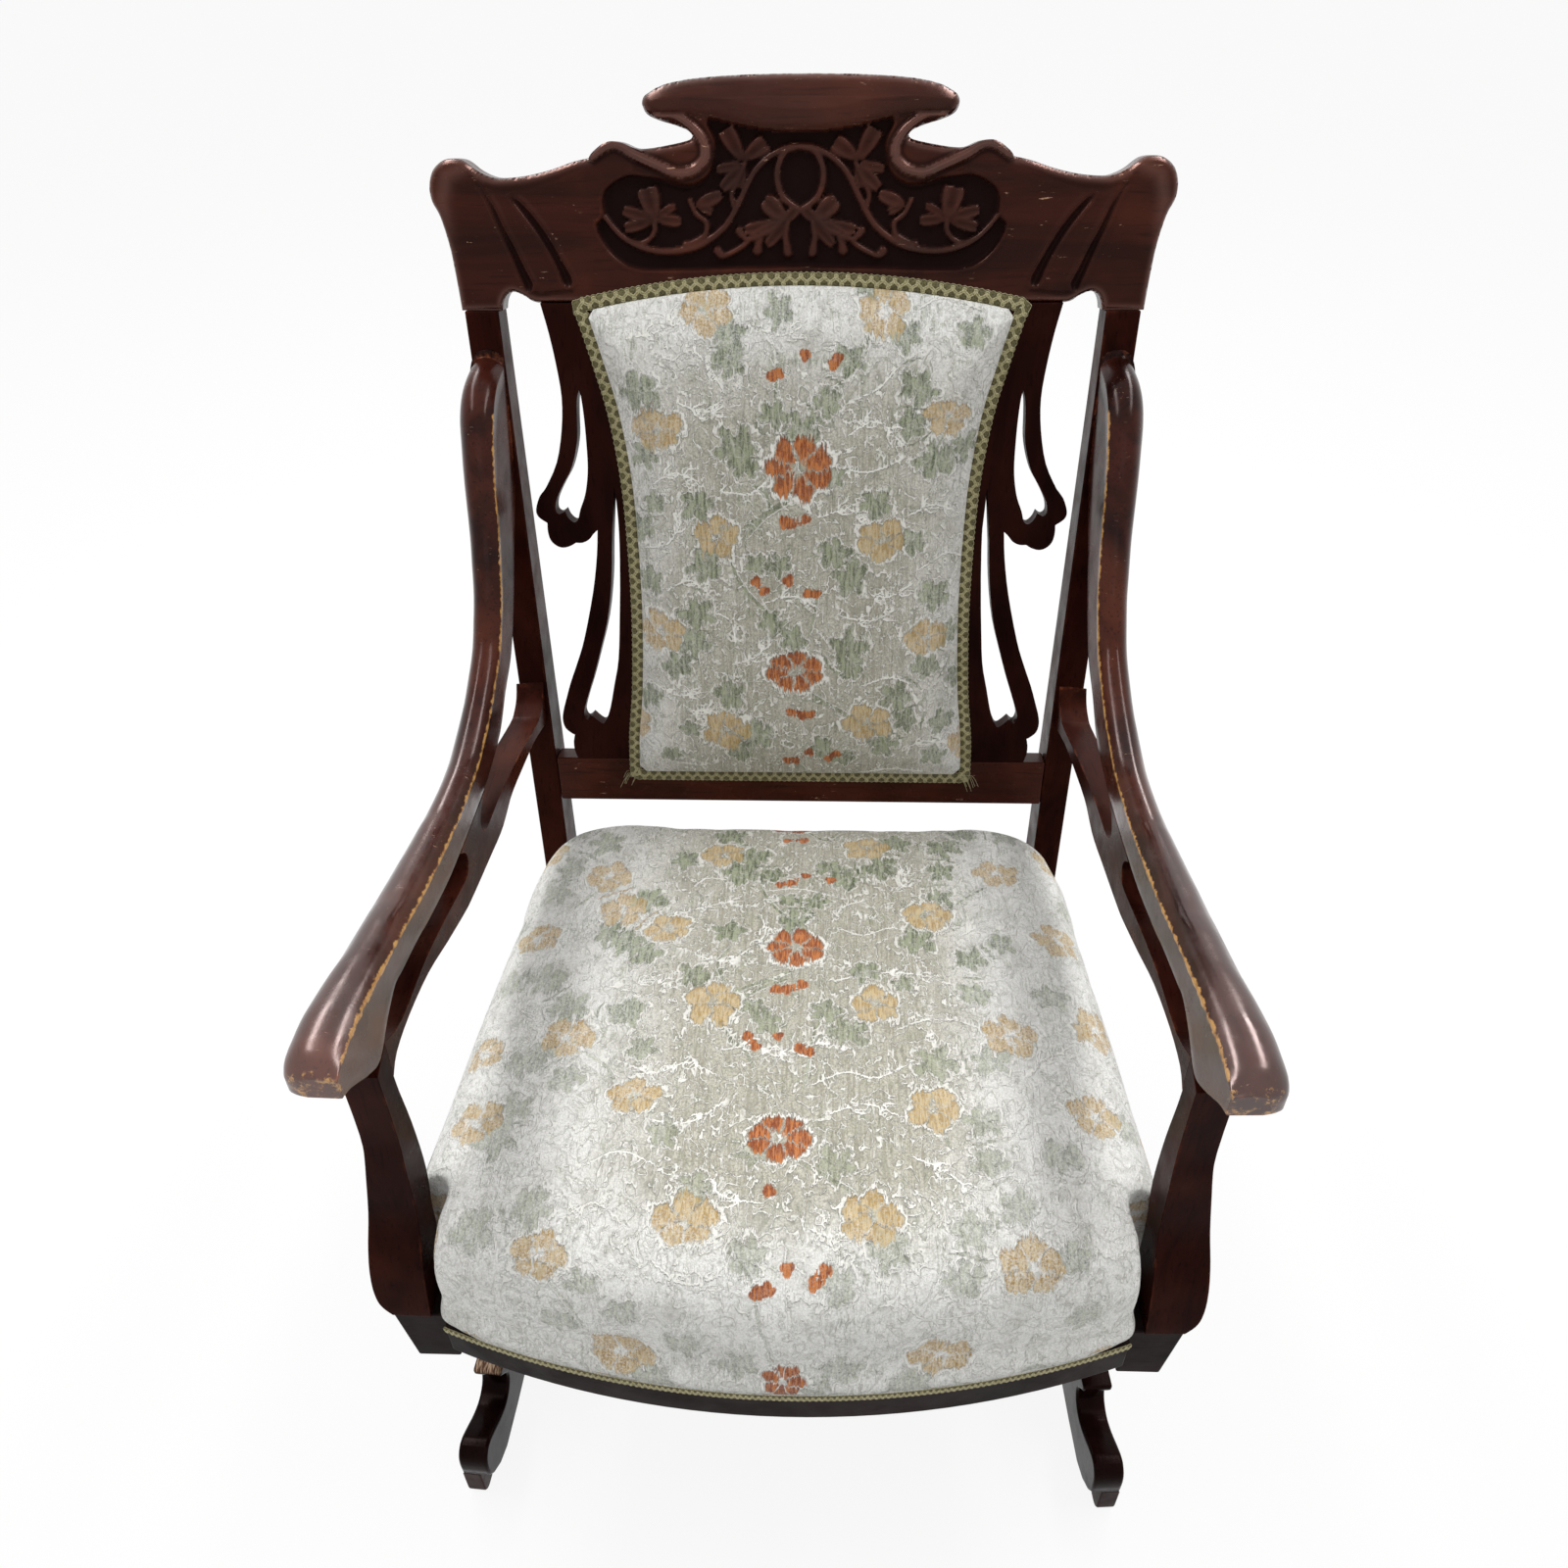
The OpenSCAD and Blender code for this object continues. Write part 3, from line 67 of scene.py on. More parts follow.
# Shared helpers ------------------------------------------------------------
def curve(points, n, close=False):
    """A smooth curve through the points, in n steps from each to the next."""
    p = np.array(points, float)
    count = len(p) if close else len(p) - 1
    out = []
    for i in range(count):
        if close:
            a, b, c, d = (p[(i + k) % len(p)] for k in (-1, 0, 1, 2))
        else:
            a, b, c, d = p[max(i - 1, 0)], p[i], p[i + 1], p[min(i + 2, len(p) - 1)]
        for k in range(n):
            t = k / n
            out.append((2 * b + (c - a) * t + (2 * a - 5 * b + 4 * c - d) * t * t
                        + (3 * b - a - 3 * c + d) * t ** 3) / 2)
    if not close:
        out.append(p[-1])
    return np.array(out)


def to_back(x, t, v):
    """Points of the leaning back: across, behind the front plane, up from the seat top."""
    x, t, v = np.broadcast_arrays(*(np.asarray(q, float) for q in (x, t, v)))
    c, s = math.cos(LEAN), math.sin(LEAN)
    return np.stack([x, BACK_Y + t * c + v * s, SEAT_TOP - t * s + v * c], -1)


def side_x(y):
    """Half the seat frame's width."""
    return SIDE_X - y * math.tan(TAPER)


def box_mm(node):
    return [np.array(q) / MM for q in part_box(node)]


def add(ob):
    scene.collection.objects.link(ob)
    return ob


def paint(ob, material, smooth=True):
    ob.data.materials.clear()
    ob.data.materials.append(material)
    ob.data.polygons.foreach_set("use_smooth", [smooth] * len(ob.data.polygons))


def make(name, verts, faces):
    me = bpy.data.meshes.new(name)
    me.from_pydata([tuple(v) for v in np.asarray(verts, float) * MM], [], [tuple(int(i) for i in f) for f in faces])
    me.update()
    return add(bpy.data.objects.new(name, me))


def joined(name, parts):
    """One object from pairs of vertices and faces."""
    verts, faces, base = [], [], 0
    for v, f in parts:
        verts.append(np.asarray(v, float))
        faces += [tuple(i + base for i in q) for q in f]
        base += len(v)
    return make(name, np.concatenate(verts), faces)


def attribute(ob, name, values):
    """One number, or one vector, for each vertex."""
    values = np.asarray(values, np.float32)
    kind, field = ("FLOAT", "value") if values.ndim == 1 else ("FLOAT_VECTOR", "vector")
    ob.data.attributes.new(name, kind, "POINT").data.foreach_set(field, values.ravel())


def vertex_field(ob, field="co"):
    v = np.zeros(len(ob.data.vertices) * 3, np.float32)
    ob.data.vertices.foreach_get(field, v)
    return v.reshape(-1, 3).astype(float)


def move_to(ob, co):
    ob.data.vertices.foreach_set("co", co.astype(np.float32).ravel())


def modify(ob, name, kind, **props):
    mod = ob.modifiers.new(name, kind)
    for k, v in props.items():
        setattr(mod, k, v)
    return mod


def apply_modifiers(ob):
    deps = bpy.context.evaluated_depsgraph_get()
    me = bpy.data.meshes.new_from_object(ob.evaluated_get(deps), depsgraph=deps)
    old = ob.data
    ob.modifiers.clear()
    ob.data = me
    bpy.data.meshes.remove(old)


def thicken(ob, metres, material):
    modify(ob, "thick", "SOLIDIFY", thickness=metres, offset=0)
    apply_modifiers(ob)
    paint(ob, material)


def stands_for(ob, node):
    """A piece of the chair that replaces one CAD node."""
    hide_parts(node)
    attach(ob, "chair")


def grid_faces(rows, cols, wrap_rows=False, wrap_cols=True):
    out = []
    for r in range(rows if wrap_rows else rows - 1):
        for c in range(cols if wrap_cols else cols - 1):
            a, b = r * cols, (r + 1) % rows * cols
            d, e = c, (c + 1) % cols
            out.append((a + d, a + e, b + e, b + d))
    return out


def capped_grid(rows, cols):
    """Faces of a tube of rings, closed at both ends."""
    last = (rows - 1) * cols
    return grid_faces(rows, cols) + [tuple(range(cols))[::-1], tuple(range(last, last + cols))]


def tube(points, radius, ring=6, close=False, up=(0, 0, 1)):
    """Vertices and faces of a round cord along the points."""
    p = np.asarray(points, float)
    tan = np.roll(p, -1, 0) - np.roll(p, 1, 0) if close else np.gradient(p, axis=0)
    tan /= np.linalg.norm(tan, axis=1)[:, None] + 1e-12
    side = np.cross(tan, np.asarray(up, float))
    side /= np.linalg.norm(side, axis=1)[:, None] + 1e-12
    over = np.cross(side, tan)
    a = np.arange(ring) * 2 * math.pi / ring
    v = p[:, None] + radius * (np.cos(a)[None, :, None] * side[:, None] + np.sin(a)[None, :, None] * over[:, None])
    return v.reshape(-1, 3), grid_faces(len(p), ring, wrap_rows=True) if close else capped_grid(len(p), ring)


def nearest(px, py, line, close=False):
    """For each point its nearest place on a line: distance, share of the line, x, y, and 1 or -1 for the side."""
    best, side = np.full(px.shape, 1e9), np.ones(px.shape)
    share, qx, qy = np.zeros(px.shape), px.copy(), py.copy()
    pts = np.asarray(line, float)
    count = len(pts) if close else len(pts) - 1
    for i in range(count):
        a, b = pts[i], pts[(i + 1) % len(pts)]
        d = b - a
        t = np.clip(((px - a[0]) * d[0] + (py - a[1]) * d[1]) / (d @ d + 1e-12), 0, 1)
        r = np.hypot(px - a[0] - t * d[0], py - a[1] - t * d[1])
        k = r < best
        best[k], share[k], qx[k], qy[k] = r[k], (i + t[k]) / count, a[0] + t[k] * d[0], a[1] + t[k] * d[1]
        side[k] = np.where((d[0] * (py - a[1]) - d[1] * (px - a[0]))[k] > 0, 1.0, -1.0)
    return best, share, qx, qy, side


def signed(px, py, poly):
    """Distance from an outline, positive inside."""
    pts = np.asarray(poly, float)
    hit = np.zeros(px.shape, bool)
    for (x0, y0), (x1, y1) in zip(pts, np.roll(pts, -1, 0)):
        if y0 != y1:
            hit ^= ((y0 > py) != (y1 > py)) & (px < (x1 - x0) * (py - y0) / (y1 - y0) + x0)
    d = nearest(px, py, pts, True)[0]
    return np.where(hit, d, -d)


def step01(x, a, b):
    t = np.clip((x - a) / (b - a), 0, 1)
    return t * t * (3 - 2 * t)


def bell(x, width):
    return np.exp(-(x / width) ** 2)


# Materials -----------------------------------------------------------------
class Value:
    """A shader node's output, on which arithmetic adds math nodes."""

    def __init__(self, nodes, socket):
        self.nodes, self.socket = nodes, socket

    def __add__(self, other):
        return self.nodes.maths("ADD", self, other)

    def __sub__(self, other):
        return self.nodes.maths("SUBTRACT", self, other)

    def __rsub__(self, other):
        return self.nodes.maths("SUBTRACT", other, self)

    def __mul__(self, other):
        return self.nodes.maths("MULTIPLY", self, other)

    def __abs__(self):
        return self.nodes.maths("ABSOLUTE", self)

    def __lt__(self, other):
        return self.nodes.maths("LESS_THAN", self, other)


class Nodes:
    """A material and short calls that add nodes to it."""

    def __init__(self, name):
        self.mat = bpy.data.materials.new(name)
        self.mat.use_nodes = True
        self.t = self.mat.node_tree
        self.bsdf = self.t.nodes["Principled BSDF"]
        self.place = self.new("ShaderNodeTexCoord", "Object")

    def new(self, kind, output=None, inputs=(), **props):
        n = self.t.nodes.new(kind)
        for k, v in props.items():
            setattr(n, k, v)
        for k, v in dict(inputs).items():
            self.put(n.inputs[k], v)
        return n if output is None else Value(self, n.outputs[output])

    def put(self, socket, value):
        if isinstance(value, Value):
            self.t.links.new(value.socket, socket)
        else:
            socket.default_value = (*value, 1.0) if socket.type == "RGBA" and len(value) == 3 else value

    def noise(self, vector, scale, detail=3.0, rough=0.55, distort=0.0):
        return self.new("ShaderNodeTexNoise", "Fac", {"Vector": vector, "Scale": scale, "Detail": detail,
                                                      "Roughness": rough, "Distortion": distort})

    def scaled(self, scale):
        return self.new("ShaderNodeMapping", "Vector", {"Vector": self.place, "Scale": scale})

    def grain(self, scale, detail, rough, distort=0.0):
        """Noise with its own scale along each axis."""
        return self.noise(self.scaled(scale), 1.0, detail, rough, distort)

    def maths(self, op, a, b=0.0, c=None):
        values = {0: a, 1: b} if c is None else {0: a, 1: b, 2: c}
        return self.new("ShaderNodeMath", 0, values, operation=op)

    def fma(self, a, b, c):
        return self.maths("MULTIPLY_ADD", a, b, c)

    def top(self, *values):
        return reduce(lambda a, b: self.maths("MAXIMUM", a, b), values)

    def ramp(self, value, low, high, a=0.0, b=1.0):
        return self.new("ShaderNodeMapRange", "Result", {"Value": value, "From Min": low, "From Max": high, "To Min": a,
                                                         "To Max": b}, interpolation_type="SMOOTHSTEP")

    def mix(self, fac, a, b):
        return self.new("ShaderNodeMix", 2, {0: fac, 6: a, 7: b}, data_type="RGBA")

    def attr(self, name, output="Fac"):
        return self.new("ShaderNodeAttribute", output, attribute_name=name)

    def split(self, vector):
        n = self.new("ShaderNodeSeparateXYZ", inputs={0: vector})
        return [Value(self, q) for q in n.outputs]

    def bump(self, height, strength, distance, normal=None):
        values = {"Strength": strength, "Distance": distance, "Height": height}
        return self.new("ShaderNodeBump", "Normal", values if normal is None else {**values, "Normal": normal})

    def out(self, **sockets):
        for k, v in sockets.items():
            self.put(self.bsdf.inputs[k.replace("_", " ")], v)
        return self.mat


def wood(name, grain, tones, rough=0.3, coat=0.0, wear_and_highlight=0.6, spec=0.28, tint=(1.0, 0.56, 0.47), end=None, hand=0.0):
    """Polished mahogany: long grain along one axis, pores, hollows darkened in part as painted shade, edges lightened
    by rubbing and by a painted highlight.

    end is the place (y, z) from which a board's end is bare; hand is how much hands rub it."""
    n = Nodes(name)
    deep, mid, light = tones

    def along(across, length):
        return tuple(length if axis == grain else across for axis in "xyz")

    figure = n.grain(along(26.0, 3.2), 5.0, 0.6, 1.2)
    pores = n.grain(along(420.0, 22.0), 2.0, 0.5)
    cloud = n.noise(n.place, 9.0, 3.0, 0.6)
    col = n.mix(n.ramp(figure, 0.34, 0.68), deep, mid)
    col = n.mix(n.ramp(cloud, 0.42, 0.72, 0.0, 0.55), col, light)
    col = n.mix(n.ramp(pores, 0.30, 0.42, 0.5, 0.0), col, (deep[0] * 0.35, deep[1] * 0.3, deep[2] * 0.3))
    # an edge is where the normal of a rounded corner leaves the face's own
    rounded = n.new("ShaderNodeBevel", "Normal", {"Radius": 0.0035}, samples=4)
    flat = n.new("ShaderNodeNewGeometry", "Normal")
    edge = n.ramp(n.new("ShaderNodeVectorMath", "Value", {0: rounded, 1: flat}, operation="DOT_PRODUCT"), 0.985, 0.9)
    # edges paler and more orange: rubbing, and a painted highlight along every rounded edge
    rub_and_highlight_patches = n.ramp(n.noise(n.place, 60.0, 4.0, 0.65), 0.48, 0.66)
    col = n.mix(edge * rub_and_highlight_patches * wear_and_highlight, col, (min(light[0] * 2.6, 1), light[1] * 2.6, light[2] * 2.0))
    # near-black where the dark attribute is set: on the crest its sunk ground, its own dark ground with painted shade,
    # and painted shade in grooves, creases, hollows and the lower carving
    dark = n.attr("dark")
    col = n.mix(dark, col, (0.0105, 0.0052, 0.0048))
    scratch = n.grain((150.0, 150.0, 150.0), 5.0, 0.7)
    # ochre where wear_and_highlight is high: rubbing on the arms; on the crest partly a painted highlight on raised
    # carving, ribbon and cap rim
    mask = n.ramp(n.attr("wear_and_highlight") + (scratch - 0.5) * 1.3, 0.56, 0.76)
    col = n.mix(mask, col, n.mix(n.ramp(scratch, 0.4, 0.6), (0.36, 0.165, 0.040), (0.50, 0.27, 0.085)))
    if end:
        # the bare, splintered end of one board
        _, y, z = n.split(n.place)
        bare = n.grain((330.0, 40.0, 40.0), 2.0, 0.7)
        front = n.ramp(y * -1.0, -end[0] - 0.004, -end[0]) * n.ramp(z, end[1] - 0.004, end[1])
        splinters = n.mix(n.ramp(bare, 0.48, 0.58), (0.10, 0.045, 0.025), (0.42, 0.30, 0.20))
        col = n.mix(front * n.ramp(bare, 0.38, 0.5), col, splinters)
    if hand:
        # short pale scratches where hands rub
        lines = n.grain((70.0, 520.0, 520.0), 3.0, 0.75, 0.6)
        spots = n.ramp(n.noise(n.place, 48.0, 3.0, 0.6), 0.54, 0.66) * (1.0 - dark)
        col = n.mix(n.ramp(lines, 0.64, 0.68) * spots, col, (0.40, 0.24, 0.16))
        spec = n.fma(n.attr("shine"), hand, spec) * n.fma(dark, -0.85, 1.0)
    smear = n.noise(n.place, 34.0, 4.0, 0.6)
    gloss = n.ramp(smear, 0.3, 0.75, rough - 0.07, rough + 0.12) + dark * 0.3
    normal = n.bump(n.noise(n.place, 190.0, 3.0, 0.6), 0.16, 0.0005, n.bump(pores, 0.10, 0.0004))
    return n.out(Base_Color=col, Roughness=gloss, Normal=normal, Coat_Weight=coat, Coat_Roughness=0.2,
                 Specular_IOR_Level=spec, Specular_Tint=tint)


def brocade(name):
    """Pale ribbed brocade.

    The piece's attributes say where each motif's centre lies; petals, leaves and outlines are drawn here."""
    n = Nodes(name)
    streak = n.grain((640.0, 90.0, 90.0), 2.0, 0.6)
    ribs = n.grain((470.0, 26.0, 26.0), 1.0, 0.5)
    grainy = n.grain((640.0, 640.0, 640.0), 4.0, 0.75)
    bend = n.noise(n.place, 70.0, 2.0, 0.5)
    turn = n.grain((90.0, 60.0, 75.0), 2.0, 0.5)
    off = streak - 0.5

    def polar(attr, jag, wander):
        """Radius and angle in a motif pulled out of shape by the threads, its turn, and where it reaches."""
        x, y, phase = n.split(n.attr(attr, "Vector"))
        x = n.fma(bend - 0.5, wander, x)
        y = n.fma(off, jag, n.fma(turn - 0.5, wander, y))
        return n.maths("SQRT", n.fma(x, x, y * y)), n.maths("ARCTAN2", y, x), phase, n.attr(attr + "_d") < 1.45

    def lobes(ang, phase, count, power):
        wave = abs(n.maths("COSINE", n.fma(ang, count / 2, phase)))
        return wave, n.maths("POWER", wave, power)

    def band(value, low, high, keep):
        return n.ramp(value, low, high) * keep

    def bloom(attr, count, depth, core, jag, wander, gap):
        """A rosette's petals, its pale rim, and the depth inside its outline."""
        r, ang, phase, keep = polar(attr, jag, wander)
        wave, petals = lobes(ang, phase, count, 0.45)
        depth_in = n.fma(petals, depth, 1.0 - depth) - r
        slot = r * wave * (2 / count) - gap
        ray, _ = lobes(ang, phase, count * 2, 1.0)
        hole = r - n.fma(ray, core * 0.5, core)
        body = n.maths("MINIMUM", n.maths("MINIMUM", depth_in, slot), hole)
        return band(body, -0.035, 0.045, keep), band(abs(depth_in + 0.11), 0.10, 0.05, keep), depth_in * keep

    red_m, red_rim, red_in = bloom("rust", 7, 0.27, 0.18, 0.75, 0.45, 0.030)
    gold_m, gold_rim, gold_in = bloom("ochre", 5, 0.36, 0.15, 0.80, 0.80, 0.028)
    r, ang, phase, keep = polar("bud", 1.1, 0.7)
    bud_m = band(n.fma(lobes(ang, phase, 3, 0.5)[1], 0.45, 0.62) - r, -0.1, 0.12, keep)
    r, ang, phase, keep = polar("leaf", 0.95, 1.0)
    wave, blades = lobes(ang, phase, 5, 0.8)
    leaf_in = n.fma(blades, 0.66, 0.40) - r
    leaf_m = band(leaf_in, -0.05, 0.08, keep)
    leaf_rim = band(abs(leaf_in + 0.17), 0.14, 0.06, keep)
    vein = n.ramp(wave * r, 0.03, 0.10)

    def thread(attr, half, jag, shift=0.0):
        d = n.fma(off, jag, n.attr(attr + "_s"))
        return band(abs(d - shift if shift else d), half + 0.35, half - 0.35, n.attr(attr + "_d") < 5.5)

    stem = thread("stem", 1.15, 2.6)
    stem_rim = thread("stem", 0.65, 2.6, 2.4)
    vine = thread("vine", 0.95, 4.0)
    fringe_d = n.fma(off, 3.0, n.attr("vine_s"))
    fringe = n.ramp(fringe_d, 6.5, 1.0) * n.ramp(fringe_d, -0.5, 0.6) * (n.attr("vine_d") < 8.0)

    # raised cream outlines over the whole ground, with threads hanging below them
    field = n.grain((56.0, 44.0, 50.0), 3.0, 0.5, 0.4)
    level = n.maths("FRACT", n.fma(off, 0.22, field * 6.0))
    line = n.ramp(abs(level - 0.5), 0.10, 0.05)
    hang = n.ramp(level, 0.46, 0.52) * n.ramp(level, 0.95, 0.60)
    # under: a band of painted shadow on the ground beside each raised outline
    under = n.ramp(level, 0.14, 0.40) * n.ramp(level, 0.50, 0.43)

    # ground: pale pile turning to beige ribs where wear_and_shade is high: pile thinned by rubbing in the seat's
    # middle, and painted shade on the back
    wear_and_shade = n.attr("mid")
    hatch = n.ramp(ribs, 0.50, 0.58)
    cloud = n.grain((42.0, 30.0, 36.0), 4.0, 0.62)
    flock = n.ramp(grainy, 0.40, 0.60)
    pale = n.mix(flock, (0.73, 0.725, 0.69), (0.96, 0.955, 0.925))
    beige = n.mix(n.ramp(grainy, 0.36, 0.62), (0.315, 0.295, 0.235), (0.62, 0.60, 0.51))
    beige = n.mix(n.ramp(ribs, 0.46, 0.38) * 0.5, beige, (0.27, 0.25, 0.19))
    base = n.mix(n.ramp(n.fma(cloud - 0.5, 0.7, wear_and_shade), 0.05, 0.95), pale, beige)
    base = n.mix(n.ramp(cloud, 0.5, 0.72, 0.0, 0.35), base, (0.40, 0.39, 0.335))
    # painted shadow beside the raised outlines, stronger where wear_and_shade is high
    base = n.mix(under * n.ramp(wear_and_shade, 0.05, 0.6, 0.32, 0.55), base, (0.27, 0.265, 0.215))

    # leaves, stems and loose green threads, then the flowers
    twist = n.grain((430.0, 60.0, 60.0), 2.0, 0.6)
    green = n.mix(n.ramp(twist, 0.40, 0.58), (0.085, 0.115, 0.055), (0.33, 0.375, 0.235))
    fade = n.ramp(flock, 0.0, 1.0, 0.95, 0.62) * n.attr("tint")
    loose = n.ramp(n.grain((60.0, 44.0, 52.0), 2.0, 0.55), 0.53, 0.60) * n.ramp(streak, 0.50, 0.58)
    col = n.mix(leaf_m * n.ramp(vein, 0.0, 1.0, 0.55, 1.0) * fade, base, green)
    col = n.mix(stem * (fade * 0.9), col, green)
    col = n.mix(loose * (fade * 0.62), col, green)
    gold = n.mix(n.ramp(streak, 0.42, 0.58), (0.43, 0.270, 0.085), (0.66, 0.50, 0.265))
    col = n.mix(gold_m * n.ramp(flock, 0.0, 1.0, 0.95, 0.45), col, gold)
    red = n.mix(n.ramp(streak, 0.42, 0.60), (0.25, 0.055, 0.012), (0.57, 0.190, 0.048))
    col = n.mix(n.top(red_m, bud_m) * n.ramp(flock, 0.0, 1.0, 1.0, 0.86), col, red)

    # cream threads over all that, less over the flowers
    white = n.top(n.top(red_rim * 0.9, gold_rim * 0.8), n.top(leaf_rim * 0.72, stem_rim * 0.7))
    ground = n.top(line * 0.85, hang * hatch * 0.6)
    white = n.top(white, vine, fringe * hatch * 0.85, ground * n.ramp(wear_and_shade, 0.05, 0.6, 0.75, 1.0))
    white = white * (1.0 - n.top(red_m, bud_m, gold_m, leaf_m * 0.7))
    white = white * n.ramp(n.noise(n.place, 210.0, 2.0, 0.6), 0.28, 0.44)
    col = n.mix(white * 0.9, col, (0.96, 0.95, 0.89))
    # painted shade: darker where the dark attribute is set, on the seat's low edge and sideways-facing sides and at the
    # back's foot
    col = n.mix(n.attr("dark"), col, (0.13, 0.125, 0.11))

    pile = grainy * n.ramp(wear_and_shade, 0.2, 0.8, 1.25, 0.5)
    puff = n.top(n.ramp(leaf_in, -0.25, 0.2), n.top(n.ramp(red_in, -0.2, 0.15), n.ramp(gold_in, -0.2, 0.15)))
    pucker = n.grain((95.0, 60.0, 80.0), 3.0, 0.6)
    normal = n.bump(n.fma(puff, -0.5, pucker), 0.5, 0.0022)
    normal = n.bump(ribs * 0.5 + white * 2.2 + pile, 0.85, 0.0013, normal)
    return n.out(Base_Color=col, Roughness=0.85, Normal=normal, Specular_IOR_Level=0.25, Sheen_Weight=0.12,
                 Sheen_Roughness=0.5)


def metal(name, colours, scale, rough, metallic, bump, depth):
    n = Nodes(name)
    a = n.noise(n.place, scale, 4.0, 0.6)
    b = n.noise(n.place, scale * 6.3, 3.0, 0.6)
    col = n.mix(n.ramp(a, 0.36, 0.66), colours[0], colours[1])
    col = n.mix(n.ramp(b, 0.55, 0.7, 0.0, 0.6), col, colours[2])
    r = n.ramp(b, 0.3, 0.7, rough - 0.08, rough + 0.1)
    return n.out(Base_Color=col, Roughness=r, Metallic=metallic, Normal=n.bump(b, bump, depth))


def weave(name, dark, light, pitch, axes="XY"):
    """Plain woven cloth: crossed threads from two waves."""
    n = Nodes(name)
    values = {"Vector": n.place, "Scale": 0.314 / pitch, "Distortion": 1.0, "Detail": 1.0, "Detail Scale": 0.4}
    one, other = (n.new("ShaderNodeTexWave", "Fac", values, wave_type="BANDS", bands_direction=axis, wave_profile="SIN")
                  for axis in axes)
    cloth = one * other
    cloud = n.noise(n.place, 30.0, 4.0, 0.6)
    col = n.mix(n.ramp(cloth, 0.1, 0.6), dark, light)
    col = n.mix(n.ramp(cloud, 0.45, 0.7, 0.0, 0.4), col, tuple(c * 0.7 for c in light))
    return n.out(Base_Color=col, Roughness=0.85, Normal=n.bump(cloth, 0.5, 0.0004), Specular_IOR_Level=0.2)


def braid_cloth(name):
    """Olive ground with paler gold cords; the piece's own attribute tells cord from ground."""
    n = Nodes(name)
    fibre = n.grain((900.0, 900.0, 900.0), 2.0, 0.6)
    cloud = n.noise(n.place, 40.0, 3.0, 0.6)
    # the band under the cords: olive darkened in part as painted shade
    ground = n.mix(n.ramp(fibre, 0.36, 0.62), (0.045, 0.038, 0.012), (0.150, 0.130, 0.048))
    gold = n.mix(n.ramp(fibre, 0.34, 0.60), (0.255, 0.225, 0.095), (0.53, 0.48, 0.285))
    gold = n.mix(n.ramp(cloud, 0.45, 0.7, 0.0, 0.4), gold, (0.30, 0.28, 0.12))
    return n.out(Base_Color=n.mix(n.attr("cord"), ground, gold), Roughness=0.6, Normal=n.bump(fibre, 0.35, 0.0003),
                 Specular_IOR_Level=0.35, Sheen_Weight=0.15)


DEEP = (0.0100, 0.0022, 0.0016)
RED_TINT = (1.0, 0.72, 0.68)
BASE_TONES = (0.0042, 0.0015, 0.0014), (0.0095, 0.0034, 0.0031), (0.017, 0.0058, 0.0048)
wood_x = wood("mahogany_x", "x", (DEEP, (0.033, 0.0068, 0.0042), (0.080, 0.0200, 0.0095)), 0.24, spec=0.18, hand=0.7)
stay_y = wood("mahogany_stay", "y", (DEEP, (0.036, 0.0078, 0.0050), (0.082, 0.0215, 0.0105)), spec=0.07)
wood_y = wood("mahogany_y", "y", (DEEP, (0.042, 0.0090, 0.0056), (0.120, 0.032, 0.0165)), 0.20, 0.03, 0.9, 0.15,
              (1.0, 0.78, 0.74), hand=0.9)
wood_z = wood("mahogany_z", "z", ((0.0072, 0.0015, 0.0011), (0.024, 0.0048, 0.0032), (0.052, 0.0125, 0.0070)), wear_and_highlight=0.5,
              spec=0.035)
dark_x = wood("dark_mahogany_x", "x", ((0.008, 0.0050, 0.0046), (0.016, 0.0105, 0.0098), (0.026, 0.0165, 0.0150)), 0.42,
              wear_and_highlight=0.35, spec=0.03, tint=(1.0, 0.86, 0.82))
dark_z = wood("dark_mahogany_z", "z", ((0.0065, 0.0014, 0.0011), (0.0155, 0.0034, 0.0025), (0.030, 0.0070, 0.0046)),
              0.36, wear_and_highlight=0.35, spec=0.05)
foot_y = wood("mahogany_base", "y", BASE_TONES, 0.17, 0.0, 0.7, 0.035, RED_TINT)
end_y = wood("worn_base_end", "y", BASE_TONES, 0.17, 0.0, 0.7, 0.035, RED_TINT, end=(-0.207, 0.100))
raw_wood = wood("plain_wood", "x", ((0.13, 0.072, 0.034), (0.22, 0.13, 0.068), (0.31, 0.20, 0.11)), 0.62, wear_and_highlight=0.2,
                spec=0.2, tint=(1, 1, 1))
fabric = brocade("upholstery")
gimp_mat = braid_cloth("braid")
jute = weave("webbing", (0.20, 0.13, 0.065), (0.46, 0.34, 0.20), 0.0021)
black_cloth = weave("black_cloth", (0.008, 0.008, 0.009), (0.035, 0.034, 0.036), 0.0011)
outer_cloth = weave("outer_cloth", (0.33, 0.325, 0.28), (0.56, 0.555, 0.50), 0.0012, "XZ")
iron = metal("iron", ((0.018, 0.016, 0.015), (0.045, 0.038, 0.033), (0.085, 0.045, 0.026)), 60.0, 0.55, 0.75, 0.5,
             0.0006)
steel = metal("steel", ((0.16, 0.155, 0.15), (0.30, 0.29, 0.28), (0.13, 0.07, 0.04)), 80.0, 0.36, 1.0, 0.25, 0.0003)
brass = metal("screw_metal", ((0.20, 0.13, 0.05), (0.42, 0.31, 0.13), (0.10, 0.07, 0.04)), 90.0, 0.4, 1.0, 0.25, 0.0003)


